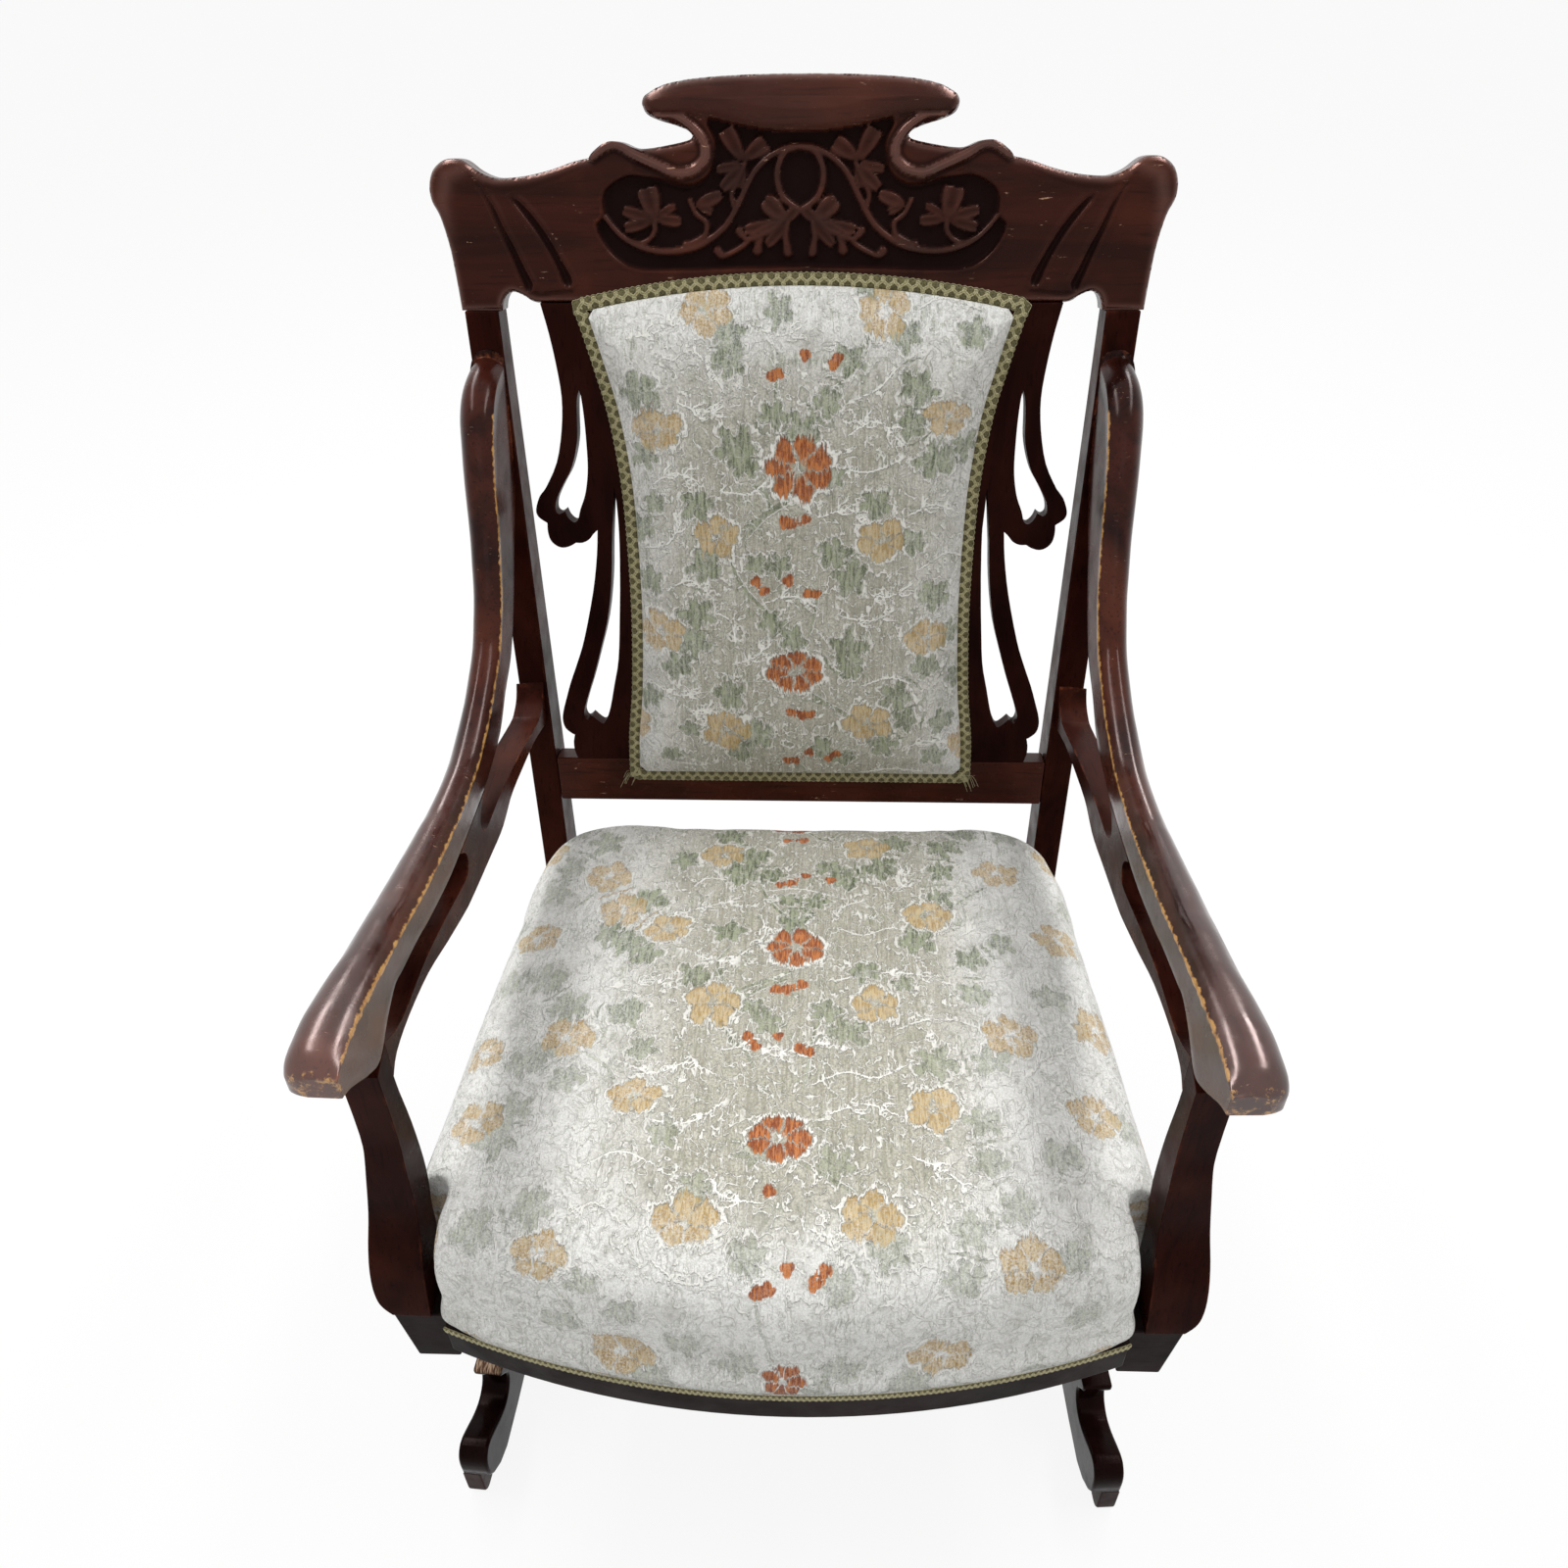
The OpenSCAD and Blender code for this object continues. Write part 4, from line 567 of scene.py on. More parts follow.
# Wood and metal kept from the CAD ------------------------------------------
KEPT = {
    wood_z: "left_back_post right_back_post left_front_post right_front_post",
    wood_x: "lower_back_rail",
    stay_y: "left_arm_stay right_arm_stay",
    foot_y: "left_rocker right_rocker right_base_board left_front_leg right_front_leg",
    end_y: "left_base_board",
    dark_z: "left_fret_splat right_fret_splat arm_screw_plugs left_front_foot_pad left_rear_foot_pad"
            " right_front_foot_pad right_rear_foot_pad",
    dark_x: "left_side_rail right_side_rail front_rail rear_rail left_front_block right_front_block front_stretcher"
            " middle_stretcher rear_stretcher",
    raw_wood: "corner_blocks webbing_battens",
    iron: "left_upper_bracket right_upper_bracket left_lower_bracket right_lower_bracket",
    steel: "seat_springs",
    brass: "rocker_screws bracket_screws_upper bracket_screws_lower stretcher_screws",
}
EDGE_WOOD, EDGE_METAL = 1.6, 0.4
SOFT_EDGE = {"left_arm_stay": 3.0, "right_arm_stay": 3.0, "left_front_post": 4.0, "right_front_post": 4.0,
             "left_fret_splat": 2.2, "right_fret_splat": 2.2, "left_base_board": 3.0, "right_base_board": 3.0,
             "left_rocker": 3.0, "right_rocker": 3.0}
for material, names in KEPT.items():
    is_metal = material in (iron, brass, steel)
    for name in names.split():
        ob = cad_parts[name]
        paint(ob, material)
        modify(ob, "weld", "WELD", merge_threshold=0.00002)
        if name != "seat_springs":
            edge = EDGE_METAL if is_metal else SOFT_EDGE.get(name, EDGE_WOOD)
            modify(ob, "flat", "DECIMATE", decimate_type="DISSOLVE", angle_limit=math.radians(0.6))
            modify(ob, "edge", "BEVEL", width=edge * MM, segments=2 if is_metal else 3, limit_method="ANGLE",
                   angle_limit=math.radians(35), miter_outer="MITER_ARC")
            modify(ob, "shade", "WEIGHTED_NORMAL", keep_sharp=False, weight=80)


# Carved crest rail ---------------------------------------------------------
# Half outlines, in shares of the half width and of the height.
ARCH = [[0.731, 0.035], [0.749, 0.043], [0.771, 0.068], [0.798, 0.085], [0.818, 0.073], [0.83, 0.041], [0.835, 0]]
EAR = [
    [0.95, 0], [0.957, 0.176], [0.964, 0.3], [0.979, 0.417], [0.998, 0.487], [1, 0.552], [0.987, 0.613], [0.962, 0.651],
    [0.935, 0.665], [0.9, 0.657], [0.865, 0.613], [0.831, 0.587], [0.801, 0.581], [0.735, 0.591], [0.668, 0.616],
    [0.608, 0.648], [0.561, 0.665]]
RIBBON = [
    [0.561, 0.665], [0.549, 0.691], [0.512, 0.73], [0.474, 0.728], [0.437, 0.704], [0.401, 0.703], [0.356, 0.714],
    [0.312, 0.728], [0.289, 0.739]]
CAP = [
    [0.289, 0.739], [0.284, 0.754], [0.293, 0.773], [0.327, 0.796], [0.371, 0.817], [0.401, 0.841], [0.412, 0.874],
    [0.411, 0.901], [0.397, 0.926], [0.356, 0.958], [0.289, 0.98], [0.2, 0.992], [0.1, 0.998], [0, 1]]
CAP_LOW = [[0, 0.765], [0.07, 0.769], [0.14, 0.786], [0.237, 0.821], [0.317, 0.842], [0.371, 0.84], [0.401, 0.845]]
FIELD_LOW = [
    [0, 0.198], [0.1, 0.194], [0.25, 0.187], [0.4, 0.182], [0.46, 0.195], [0.497, 0.228], [0.527, 0.28], [0.549, 0.346],
    [0.553, 0.385]]
FIELD_END = [[0.553, 0.385], [0.531, 0.422], [0.533, 0.48]]
FIELD_TOP = [
    [0.533, 0.48], [0.519, 0.534], [0.474, 0.581], [0.437, 0.589], [0.377, 0.575], [0.327, 0.554], [0.282, 0.554],
    [0.245, 0.593], [0.23, 0.657], [0.226, 0.737], [0.244, 0.802], [0.237, 0.821]]
GROOVES = [
    [[0.868, 0.561], [0.846, 0.489], [0.824, 0.385], [0.798, 0.268], [0.771, 0.137], [0.757, 0.085], [0.742, 0.117],
    [0.757, 0.176], [0.783, 0.281], [0.809, 0.372], [0.831, 0.464]], [[0.779, 0.495], [0.749, 0.424], [0.712, 0.333],
    [0.675, 0.215], [0.653, 0.117], [0.634, 0.117], [0.634, 0.15], [0.653, 0.215], [0.69, 0.333], [0.727, 0.424],
    [0.764, 0.489]]]
# On half the crest, in millimetres across and above the seat top: points, radii along the stem, height.
STEMS = [
    ([(159, 571), (151, 561), (140, 552), (124, 546), (107, 544.4), (89, 546.7), (76, 552), (62, 562), (53, 574),
      (44, 590), (36, 603), (24, 613), (11, 619), (0, 620)], [2.2, 3.0, 3.2, 3.0, 2.8, 2.8], 4.7),
    ([(0, 620), (11, 617), (17, 608), (18.5, 598), (15, 586), (8, 579), (0, 574.5), (-8, 570)], [3.0, 3.0, 2.8], 4.9),
    ([(8, 579), (0, 574.5), (-8, 571), (-13, 567)], [2.8, 2.4], 4.3),
    ([(13, 569), (22, 561), (33, 556), (42, 553.5), (47, 556), (49.5, 559.5)], [3.0, 2.6, 2.4, 3.8], 4.4),
    ([(20, 566), (34, 560), (46, 549), (56, 543.5), (64, 541), (67.5, 544.5)], [2.8, 2.6, 2.4, 4.0], 4.2),
    ([(10, 566), (12, 556), (11, 549), (10, 543)], [2.6, 3.0, 3.8], 4.2),
    ([(24, 566), (30, 558), (34, 550), (35, 545)], [2.6, 2.8, 4.4], 4.0),
    ([(118, 567), (119, 559), (124, 553), (132, 550.5), (140, 553)], [2.4, 2.4, 2.2], 4.1),
    ([(44, 608), (50, 596), (55, 586), (53, 576)], [2.2, 2.4, 2.4], 4.0),
    ([(89, 582), (84, 572), (76, 565.5), (77.5, 557), (86, 551.5), (94, 549.5)], [2.2, 2.4, 2.6], 4.2)]
# Root, tip, width, height, hollow, and how blunt the tip is.
PETALS = [
    # the spray in the middle
    ((12, 568), (29, 582), 11.5, 5.2, 1.8, 1.0), ((12, 566), (2, 577), 7.0, 4.6, 1.2, 1.0),
    ((14, 566), (45, 560), 7.0, 4.4, 1.4, 1.0), ((10, 566), (27, 549), 6.5, 4.2, 1.2, 1.0),
    # flower beside the loop
    ((118, 568), (123.5, 591), 11.0, 4.8, 1.8, 0.4), ((120, 569), (143.5, 574.5), 7.0, 4.4, 1.3, 1.0),
    ((120, 567), (143, 561.5), 7.0, 4.2, 1.3, 1.0), ((117, 568), (97, 566.5), 6.6, 4.4, 1.3, 1.0),
    ((117, 570), (101, 578), 4.6, 4.0, 0.8, 1.0),
    # flower under the cap
    ((46, 610), (59, 632), 9.0, 4.4, 1.5, 0.4), ((45, 611), (27, 623), 9.0, 4.4, 1.5, 0.5),
    ((47, 608), (67, 603.5), 5.6, 4.2, 1.0, 1.0), ((46, 606), (63, 590), 7.5, 4.4, 1.4, 1.0),
    ((44, 607), (49, 591), 5.0, 4.0, 1.0, 1.0),
    # bud on its own stem
    ((84, 578), (63, 586), 9.0, 4.6, 1.0, 1.4), ((84, 579), (71, 573), 5.0, 4.2, 0.8, 1.0)]
RIM = [(262, 593), (240, 588.5), (220, 590.5), (200, 596.5), (180, 603.5), (160, 612)]
LOBE = [(288, 520), (289, 560), (290, 580), (284, 600), (270, 606)]
CREASE = [(226, 513), (214, 511.5), (190, 514.5)]
BEAD = [(165, 612.5), (153, 620.5), (142, 620.5), (131, 614.5), (113, 607), (98, 601.5), (84, 604), (75.5, 612.5),
        (76, 623), (84, 633), (98, 641.5), (112, 642)]
UNDER_BEAD = [(129, 606), (110, 596.5), (94, 592), (80, 595)]
SUNK, ROUND, FOOT_UP = 5.2, 4.0, 499.5  # the ground's depth, the edge's radius, the crest's foot above the seat top


def sized(points, n, close=False):
    return curve(points, n, close) * [CREST_W / 2, CREST_H]


def mirrored(*half):
    half = np.concatenate(half)
    return np.concatenate([half, (half * [-1, 1])[::-1]])


def up(points):
    """Carving points, from their height above the seat top to that above the crest's foot."""
    return np.array(points, float) - [0, FOOT_UP]


outline = mirrored(sized(ARCH, 4), sized(EAR, 4), sized(RIBBON, 4)[1:], sized(CAP, 4)[1:-1])
field = mirrored([[0.01, 0.198 * CREST_H]], sized(FIELD_LOW, 3)[1:], sized(FIELD_END, 3)[1:], sized(FIELD_TOP, 3)[1:],
                 [[60, 0.84 * CREST_H], [0.01, 0.84 * CREST_H]])
cap = mirrored(sized(CAP_LOW, 4)[:-1], sized(CAP[5:], 4)[:-1])


def stem_height(A, S, points, radii, height):
    d, t = nearest(A, S, curve(up(points), 6))[:2]
    rad = np.interp(t, np.linspace(0, 1, len(radii)), radii)
    q = np.sqrt(np.maximum(1 - (d / rad) ** 2, 0))
    return np.where(d < rad, -SUNK + height * (0.35 + 0.65 * q), -9)


def petal_height(A, S, root, tip, width, height, cup, blunt):
    a, b = up([root, tip])
    d = b - a
    length = math.hypot(*d)
    d = d / length
    u = ((A - a[0]) * d[0] + (S - a[1]) * d[1]) / length
    v = -(A - a[0]) * d[1] + (S - a[1]) * d[0]
    w = width * np.sqrt(np.clip(u, 0, 1)) * np.power(np.clip(1.02 - u, 0, 1), 0.28 * blunt) * 1.12 + 0.4
    f = 1 - np.abs(v) / np.maximum(w, 0.2)
    body = (height * (0.5 + 0.5 * step01(f, 0, 0.3)) - cup * step01(f, 0.35, 1.0) * step01(u, 0.1, 0.5)
            - 1.3 * (1 - np.clip(u, 0, 1)) ** 2)
    return np.where((u > 0) & (u < 1.01) & (f > 0), -SUNK + body, -9)


def carve(X, S):
    """Forward height of the carved face, and its shares of darkening (painted shade in grooves, creases and hollows,
    and the dark ground), of rubbing with painted highlight, and of shine, for points across and up the crest.
    """
    A = np.abs(X)
    edge = signed(X, S, outline)
    e = np.clip(edge, 0, ROUND)
    h = np.sqrt(np.maximum(ROUND ** 2 - (ROUND - e) ** 2, 0)) - ROUND
    dark = wear_and_highlight = np.zeros(X.shape)
    shine = bell(edge - 1.8, 2.4)
    # a rounded upper rim on the shoulders
    h -= 0.9 * bell(nearest(A, S, up(RIM))[0], 1.6) * (A > 150)
    # glossy lobe of the ear
    d = nearest(A, S, up(LOBE))[0]
    h += 2.2 * bell(d, 8.0) * step01(S, 20, 80)
    shine = np.maximum(shine, 0.7 * bell(d, 6.0) * step01(S, 20, 80))
    for groove in GROOVES:
        d = signed(A, S, sized(groove, 3, True))
        h -= 4.2 * step01(d, -1.2, 3.2)
        # painted shade inside the grooves
        dark = np.maximum(dark, 0.85 * step01(d, -0.6, 1.4))
        h += 0.8 * bell(d + 2.4, 1.5)
    d = nearest(A, S, up(CREASE))[0]
    h -= 1.6 * bell(d, 1.6)
    # painted shade along the crease
    dark = np.maximum(dark, 0.5 * bell(d, 1.4))
    # sunk, stippled ground, near-black: its own dark ground together with painted shade in the recess
    inner = signed(X, S, field)
    ground = step01(inner, -0.8, 1.6)
    h = h * (1 - ground) + ground * -SUNK
    dark = np.maximum(dark, ground)
    h += 0.7 * bell(inner + 2.0, 1.4)
    # a paler rim round the ground: rubbing together with painted highlight
    wear_and_highlight = np.maximum(wear_and_highlight, 0.35 * bell(inner + 1.2, 1.0))
    h += ground * 0.35 * (np.sin(X * 2.7 + 1.3 * np.sin(S * 1.9)) * np.sin(S * 2.5 + 1.1 * np.sin(X * 2.1)))
    # flowers on it
    relief = reduce(np.maximum, [stem_height(A, S, *q) for q in STEMS] + [petal_height(A, S, *q) for q in PETALS])
    raised = (inner > 0.2) & (relief > h)
    # painted shade: the lower the carving lies, the darker
    dark = np.where(raised, np.clip(0.85 - 0.17 * (relief + SUNK), 0.12, 0.8), dark)
    h = np.where(raised, relief, h)
    # paler toward the carving's top: rubbing together with painted highlight
    wear_and_highlight = np.maximum(wear_and_highlight, np.where(raised, 0.13 * np.clip(relief + 3.6, 0, 3), 0))
    shine = np.where(raised, 0.3 * np.clip((relief + 3.2) / 2.4, 0, 1), shine)
    # ribbon from the shoulder under the cap
    d, t = nearest(A, S, curve(up(BEAD), 6))[:2]
    rad = np.interp(t, [0, 0.08, 0.3, 0.6, 0.85, 1], [3.0, 4.2, 4.8, 4.8, 4.2, 3.0])
    bead = np.where(d < rad, 4.4 * np.sqrt(np.maximum(1 - (d / rad) ** 2, 0)), 0)
    h = np.where((d < rad) & (edge > -1), np.maximum(h, bead - 1.2), h)
    # painted shadow in the hollow round the ribbon
    dark = np.where(d < rad, 0.0, np.maximum(dark, 0.75 * bell(d - rad - 0.8, 1.5) * (edge > 2)))
    # a paler strip along the ribbon's ridge: rubbing together with painted highlight
    wear_and_highlight = np.maximum(wear_and_highlight, np.where(d < rad * 0.5, 0.30, 0))
    shine = np.where(d < rad * 0.7, 1.0, shine)
    h -= 2.0 * bell(nearest(A, S, up(UNDER_BEAD))[0], 3.4) * (d > rad)
    # cap that bellies forward
    c = signed(X, S, cap)
    belly = 9.0 * np.power(np.clip(c / 15.0, 0, 1), 0.62) * (0.72 + 0.28 * np.cos(np.clip(A / 125, 0, 1) * math.pi / 2))
    belly = belly - 2.0 * (1 - np.sqrt(np.maximum(1 - (1 - np.clip(edge, 0, 9.0) / 9.0) ** 2, 0)))
    h = np.where(c > 0, np.maximum(-3.0 + 3.0 * step01(edge, 0, 2), belly), h)
    dark = np.where(c > 0, 0.0, dark)
    # a paler band along the cap's top rim: rubbing together with painted highlight
    wear_and_highlight = np.where(c > 0, np.maximum(wear_and_highlight, 0.42 * bell(edge - 2.5, 2.2) * (S > 150)), wear_and_highlight)
    wear_and_highlight = np.where((c > 0) & (c < 1.8) & (edge > 5), 0.35, wear_and_highlight)
    shine = np.where((c > 0) & (edge > 5), 0.25, shine)
    return h, dark, wear_and_highlight, shine


def crest(step=1.4):
    """The carved face as a grid that ends on the outline, the board's edge as rings behind it, and its flat back."""
    X, S = np.meshgrid(np.arange(-300.4, 301.0, step), np.arange(-0.7, 171.5, step))
    phi = signed(X, S, outline)
    # vertices next to the outline move onto it
    near = np.abs(phi) < 0.62 * step
    X[near], S[near] = nearest(X[near], S[near], outline, True)[2:4]

    def corners(a):
        return np.stack([a[:-1, :-1], a[:-1, 1:], a[1:, 1:], a[1:, :-1]], -1).reshape(-1, 4)

    cells = zip(corners(np.arange(X.size).reshape(X.shape)), corners((phi > 0) | near))
    faces = [cell[kept] for cell, kept in cells if kept.sum() >= 3]
    used = np.zeros(X.size, bool)
    used[np.concatenate(faces)] = True
    order = np.cumsum(used) - 1
    faces = [order[f].tolist() for f in faces]
    x, s = X.ravel()[used], S.ravel()[used]
    h, *shares = carve(x, s)
    edges = dict.fromkeys((a, b) for f in faces for a, b in zip(f, f[1:] + f[:1]))
    follow = {a: b for a, b in edges if (b, a) not in edges}
    loops, left = [], set(follow)
    while left:
        loop, at = [], next(iter(left))
        while at in left:
            left.discard(at)
            loop.append(at)
            at = follow[at]
        loops.append(loop)
    loop = max(loops, key=len)
    lx, ls = x[loop], s[loop]
    tx, ts = (np.roll(q, -4) - np.roll(q, 4) for q in (lx, ls))
    length = np.hypot(tx, ts) + 1e-9
    inx, ins = -ts / length, tx / length
    verts, top, m = [to_back(x, -h, s + POST_UP)], loop, len(loop)
    for inset, t in ((0, 0.5), (0, CREST_T - 1.2), (0.3, CREST_T - 0.35), (0.8, CREST_T)):
        depth = np.maximum(t, -h[loop] + 0.2) if t < 1 else t
        base = sum(len(v) for v in verts)
        verts.append(to_back(lx + inset * inx, depth, ls + inset * ins + POST_UP))
        low = list(range(base, base + m))
        faces += [[top[(i + 1) % m], top[i], low[i], low[(i + 1) % m]] for i in range(m)]
        top = low
    faces.append(top[::-1])
    verts = np.concatenate(verts)
    ob = make("crest_carved", verts, faces)
    for name, share in zip(("dark", "wear_and_highlight", "shine"), shares):
        attribute(ob, name, np.concatenate([share, np.zeros(len(verts) - len(x))]))
    paint(ob, wood_x)
    ob.data.polygons[-1].use_smooth = False
    stands_for(ob, "crest_rail")


crest()

# Arms ----------------------------------------------------------------------
# Stations from the tip to the back, each as (along, up) of its upper and its lower point.
ARM_Y, ARM_Z, ARM_L, ARM_RISE, ARM_W, ARM_X = -303.0, 574.0, 600.0, 270.0, 41.0, 261.39
SPLAY = math.radians(1.65)
ARM_PAIRS = [
    ((0, .186), (0, .128)), ((.006, .196), (.008, .12)), ((.028, .211), (.023, .10)), ((.068, .219), (.062, .037)),
    ((.10, .213), (.092, .012)), ((.148, .200), (.132, .06)), ((.185, .187), (.17, .092)), ((.215, .178), (.195, .085)),
    ((.257, .162), (.257, .067)), ((.293, .148), (.30, .047)), ((.378, .126), (.38, .023)), ((.438, .118),
    (.438, .019)), ((.472, .115), (.48, .018)), ((.56, .126), (.57, .022)), ((.608, .152), (.61, .03)), ((.66, .193),
    (.68, .06)), ((.697, .233), (.738, .137)), ((.743, .293), (.785, .187)), ((.772, .363), (.812, .235)),
    ((.797, .437), (.838, .30)), ((.812, .511), (.86, .36)), ((.832, .615), (.885, .44)), ((.848, .73), (.905, .50)),
    ((.86, .8), (.925, .555)), ((.875, .859), (.94, .60)), ((.893, .919), (.955, .63)), ((.918, .967), (.97, .66)),
    ((.947, .993), (.985, .69)), ((.99, 1.006), (1.005, .72)), ((1.03, 1.01), (1.03, .74))]
ARM_PLAN = [
    (0, 0.62), (0.003, 0.78), (0.01, 0.9), (0.03, 0.98), (0.072, 0.98), (0.128, 0.94), (0.187, 0.87), (0.287, 0.86),
    (0.363, 0.84), (0.448, 0.77), (0.522, 0.7), (0.63, 0.68), (0.705, 0.66), (0.833, 0.68), (0.88, 0.73), (0.923, 0.78),
    (1.03, 0.75)]
# across, lift above the top line: the crown of the arm rest
CROWN = [
    (0, -1.2), (0.012, -0.2), (0.05, 1.2), (0.15, 4.2), (0.28, 6.2), (0.42, 7.3), (0.55, 7.3), (0.68, 6.0), (0.80, 3.0),
    (0.90, -1.8), (0.965, -7.5), (1.0, -14.0)]


def arm(s):
    """One arm, lofted through rings; s is 1 for the right one and -1 for the left."""
    side = "right" if s > 0 else "left"
    plan, crown = curve(ARM_PLAN, 4), curve(CROWN, 2)
    points, wear_and_highlight, shine = [], [], []
    for station in curve([a + b for a, b in ARM_PAIRS], 4):
        ty = station[0]
        top, low = (np.array([ARM_Y + y * ARM_L, ARM_Z + z * ARM_RISE]) for y, z in (station[:2], station[2:]))
        tall = np.linalg.norm(top - low)
        n = (top - low) / tall
        squeeze = min(1.0, tall / 40.0)
        near_tip, low_rise = 0.35 + 0.65 * step01(ty, 0.0, 0.03), min(1, squeeze + 0.35)
        # share across, point, rub: over the crown, down the outer side, along the bottom, up the inner side
        ring = [(u, top + n * (lift * squeeze if lift < 0 else lift * near_tip * low_rise), max(0.0, 1 - u / 0.10))
                for u, lift in crown]
        start = ring[-1][1]
        ring += [(1.0, start + (low + n * 5 * squeeze - start) * f, 0) for f in (0.25, 0.5, 0.75)]
        ring += [(u, low + n * lift * squeeze, 0) for u, lift in (
            (1.0, 4.0), (0.96, 1.2), (0.88, 0), (0.62, 0), (0.38, 0), (0.12, 0), (0.03, 0.8), (0.0, 3.0))]
        ring += [(0.0, low + (top - low) * f, 0) for f in (0.3, 0.6, 0.85)]
        ring.append((0.0, top - n * 3.4 * squeeze, 0.75))
        for u, (y, z), rub in ring:
            along = y - ARM_Y
            wide = np.interp(along / ARM_L, plan[:, 0], plan[:, 1]) * ARM_W
            if u > 0.5 and along < 6:
                wide = min(wide, ARM_W * (0.98 - 0.3 * (1 - along / 6.0) ** 2))
            points.append((u * wide, y, z))
            tip = 0.55 * (1 - step01(along / ARM_L, 0.004, 0.016))
            wear_and_highlight.append(max(rub * (0.82 if 0.02 < ty < 0.9 else 0.5), tip))
            dull = 0.14 * step01(ty, 0.4, 0.6) if u < 0.02 and rub < 0.5 else 0
            shine.append(1 - step01(ty, 0.3, 0.75) - dull)
    x, y, z = np.array(points).T
    x, y = ARM_X + x * math.cos(SPLAY) - y * math.sin(SPLAY), x * math.sin(SPLAY) + y * math.cos(SPLAY)
    # the rear end stops at the back's front plane
    c, sn = math.cos(LEAN), math.sin(LEAN)
    over = np.maximum((y - BACK_Y) * c - (z - SEAT_TOP) * sn + 0.3, 0)
    faces = capped_grid(len(points) // len(ring), len(ring))
    ob = make(side + "_arm_shaped", np.stack([s * x, y - over * c, z + over * sn], 1),
              [f[::-1] for f in faces] if s > 0 else faces)
    attribute(ob, "wear_and_highlight", wear_and_highlight)
    attribute(ob, "shine", shine)
    paint(ob, wood_y)
    modify(ob, "shade", "WEIGHTED_NORMAL", weight=50)
    stands_for(ob, side + "_arm")


for s in (-1, 1):
    arm(s)


# Woven pattern -------------------------------------------------------------
# Centres in millimetres: on the seat from its middle, on the back from its lower edge, which is at 67.5.
SEAT_RUST = [(1, -7), (-6, -205), (1, -422), (-4, 194)]
SEAT_OCHRE = [
    (-176, 91), (-71, 124), (66, 138), (187, 103), (-113, 17), (119, 39), (-232, 15), (-66, -72), (70, -72),
    (-183, -106), (180, -98), (-121, -168), (113, -175), (-243, -187), (238, -172), (-72, -273), (62, -267),
    (-176, -299), (176, -299), (-126, -400), (121, -393), (236, 22), (-157, 43), (-254, -115), (258, -76), (-276, -279),
    (276, -260), (-246, 138), (246, 138), (270, -410), (-270, -410), (-325, 97), (317, 80), (-307, -8), (325, -21),
    (-344, -82), (346, -107), (-317, -174), (313, -181), (-350, 43), (350, 32), (-60, 240), (65, 244), (-173, 236),
    (167, 242)]
SEAT_BUDS = [
    (5, 152), (-10, 152), (8, 92), (32, 86), (-15, 78), (-4, 81), (-14, -57), (-5, -57), (8, -51), (-35, -109),
    (-10, -108), (-28, -119), (7, -119), (15, -123), (-12, -249), (3, -306), (30, -306), (-18, -322), (-10, -319),
    (22, -315)]
SEAT_LEAVES = [
    (-220, 170, 16), (-187, 145, 18), (-216, 109, 16), (-224, 74, 17), (-106, 114, 14), (-66, 159, 17), (-40, 121, 16),
    (-52, 97, 19), (-22, 93, 12), (33, 104, 15), (46, 87, 13), (79, 107, 18), (94, 147, 16), (140, 139, 17),
    (135, 103, 15), (161, 167, 16), (203, 169, 15), (-135, 56, 19), (-147, -1, 18), (-167, 12, 15), (-128, -14, 14),
    (-58, 12, 14), (0, 25, 15), (19, 54, 14), (-6, 56, 12), (108, 5, 16), (153, -14, 15), (133, 64, 14),
    (-214, -39, 18), (-187, -73, 18), (-138, -81, 19), (-120, -121, 14), (-84, -41, 14), (-31, -77, 13), (28, -81, 14),
    (46, -102, 17), (61, -35, 14), (154, -53, 15), (220, -51, 16), (161, -126, 16), (117, -132, 18), (-218, -132, 15),
    (-201, -120, 13), (-178, -149, 15), (-214, -177, 16), (-224, -205, 18), (149, -185, 14), (151, -221, 16),
    (207, -212, 17), (-226, -281, 17), (-185, -264, 16), (-145, -319, 15), (-67, -247, 15), (-26, -219, 12),
    (36, -226, 14), (74, -290, 16), (133, -276, 16), (169, -256, 15), (206, -291, 15), (128, -309, 15), (-26, -297, 15),
    (38, -315, 15), (-117, -348, 15), (-167, -364, 15), (224, -348, 16), (-78, -384, 14), (-40, -403, 16),
    (49, -408, 15), (-20, -93, 13), (94, -47, 12), (-94, -201, 12), (183, 8, 14), (-246, -37, 15), (254, 74, 15),
    (-258, 43, 14), (266, -174, 15), (-295, 59, 16), (-340, 2, 15), (-299, -54, 16), (-331, -127, 16), (-300, -212, 15),
    (-354, 95, 14), (295, 45, 16), (340, -9, 15), (303, -64, 16), (335, -144, 16), (304, -218, 15), (352, 84, 14),
    (-285, 116, 15), (287, 114, 15), (-344, -183, 15), (346, -52, 14), (-108, 219, 15), (-14, 256, 15), (112, 226, 15),
    (-222, 228, 15), (216, 232, 15), (-105, -423, 14), (101, -422, 14), (200, -423, 14), (-214, -423, 14),
    (34, -436, 13)]
BACK_RUST = [(0, 377), (-3, 191)]
BACK_OCHRE = [
    (-78, 501), (70, 501), (-122, 408), (125, 419), (-73, 316), (73, 315), (-127, 226), (116, 224), (-68, 129),
    (65, 139), (-165, 129), (166, 112), (-8, 560), (-173, 335), (177, 328)]
BACK_BUDS = [
    (5, 468), (32, 466), (28, 461), (-17, 454), (-23, 452), (-13, 331), (-7, 329), (6, 333), (-39, 277), (-9, 278),
    (-31, 269), (8, 267), (16, 266), (-8, 150), (3, 147), (11, 148), (10, 105), (36, 104), (-11, 94), (-3, 94),
    (29, 98)]
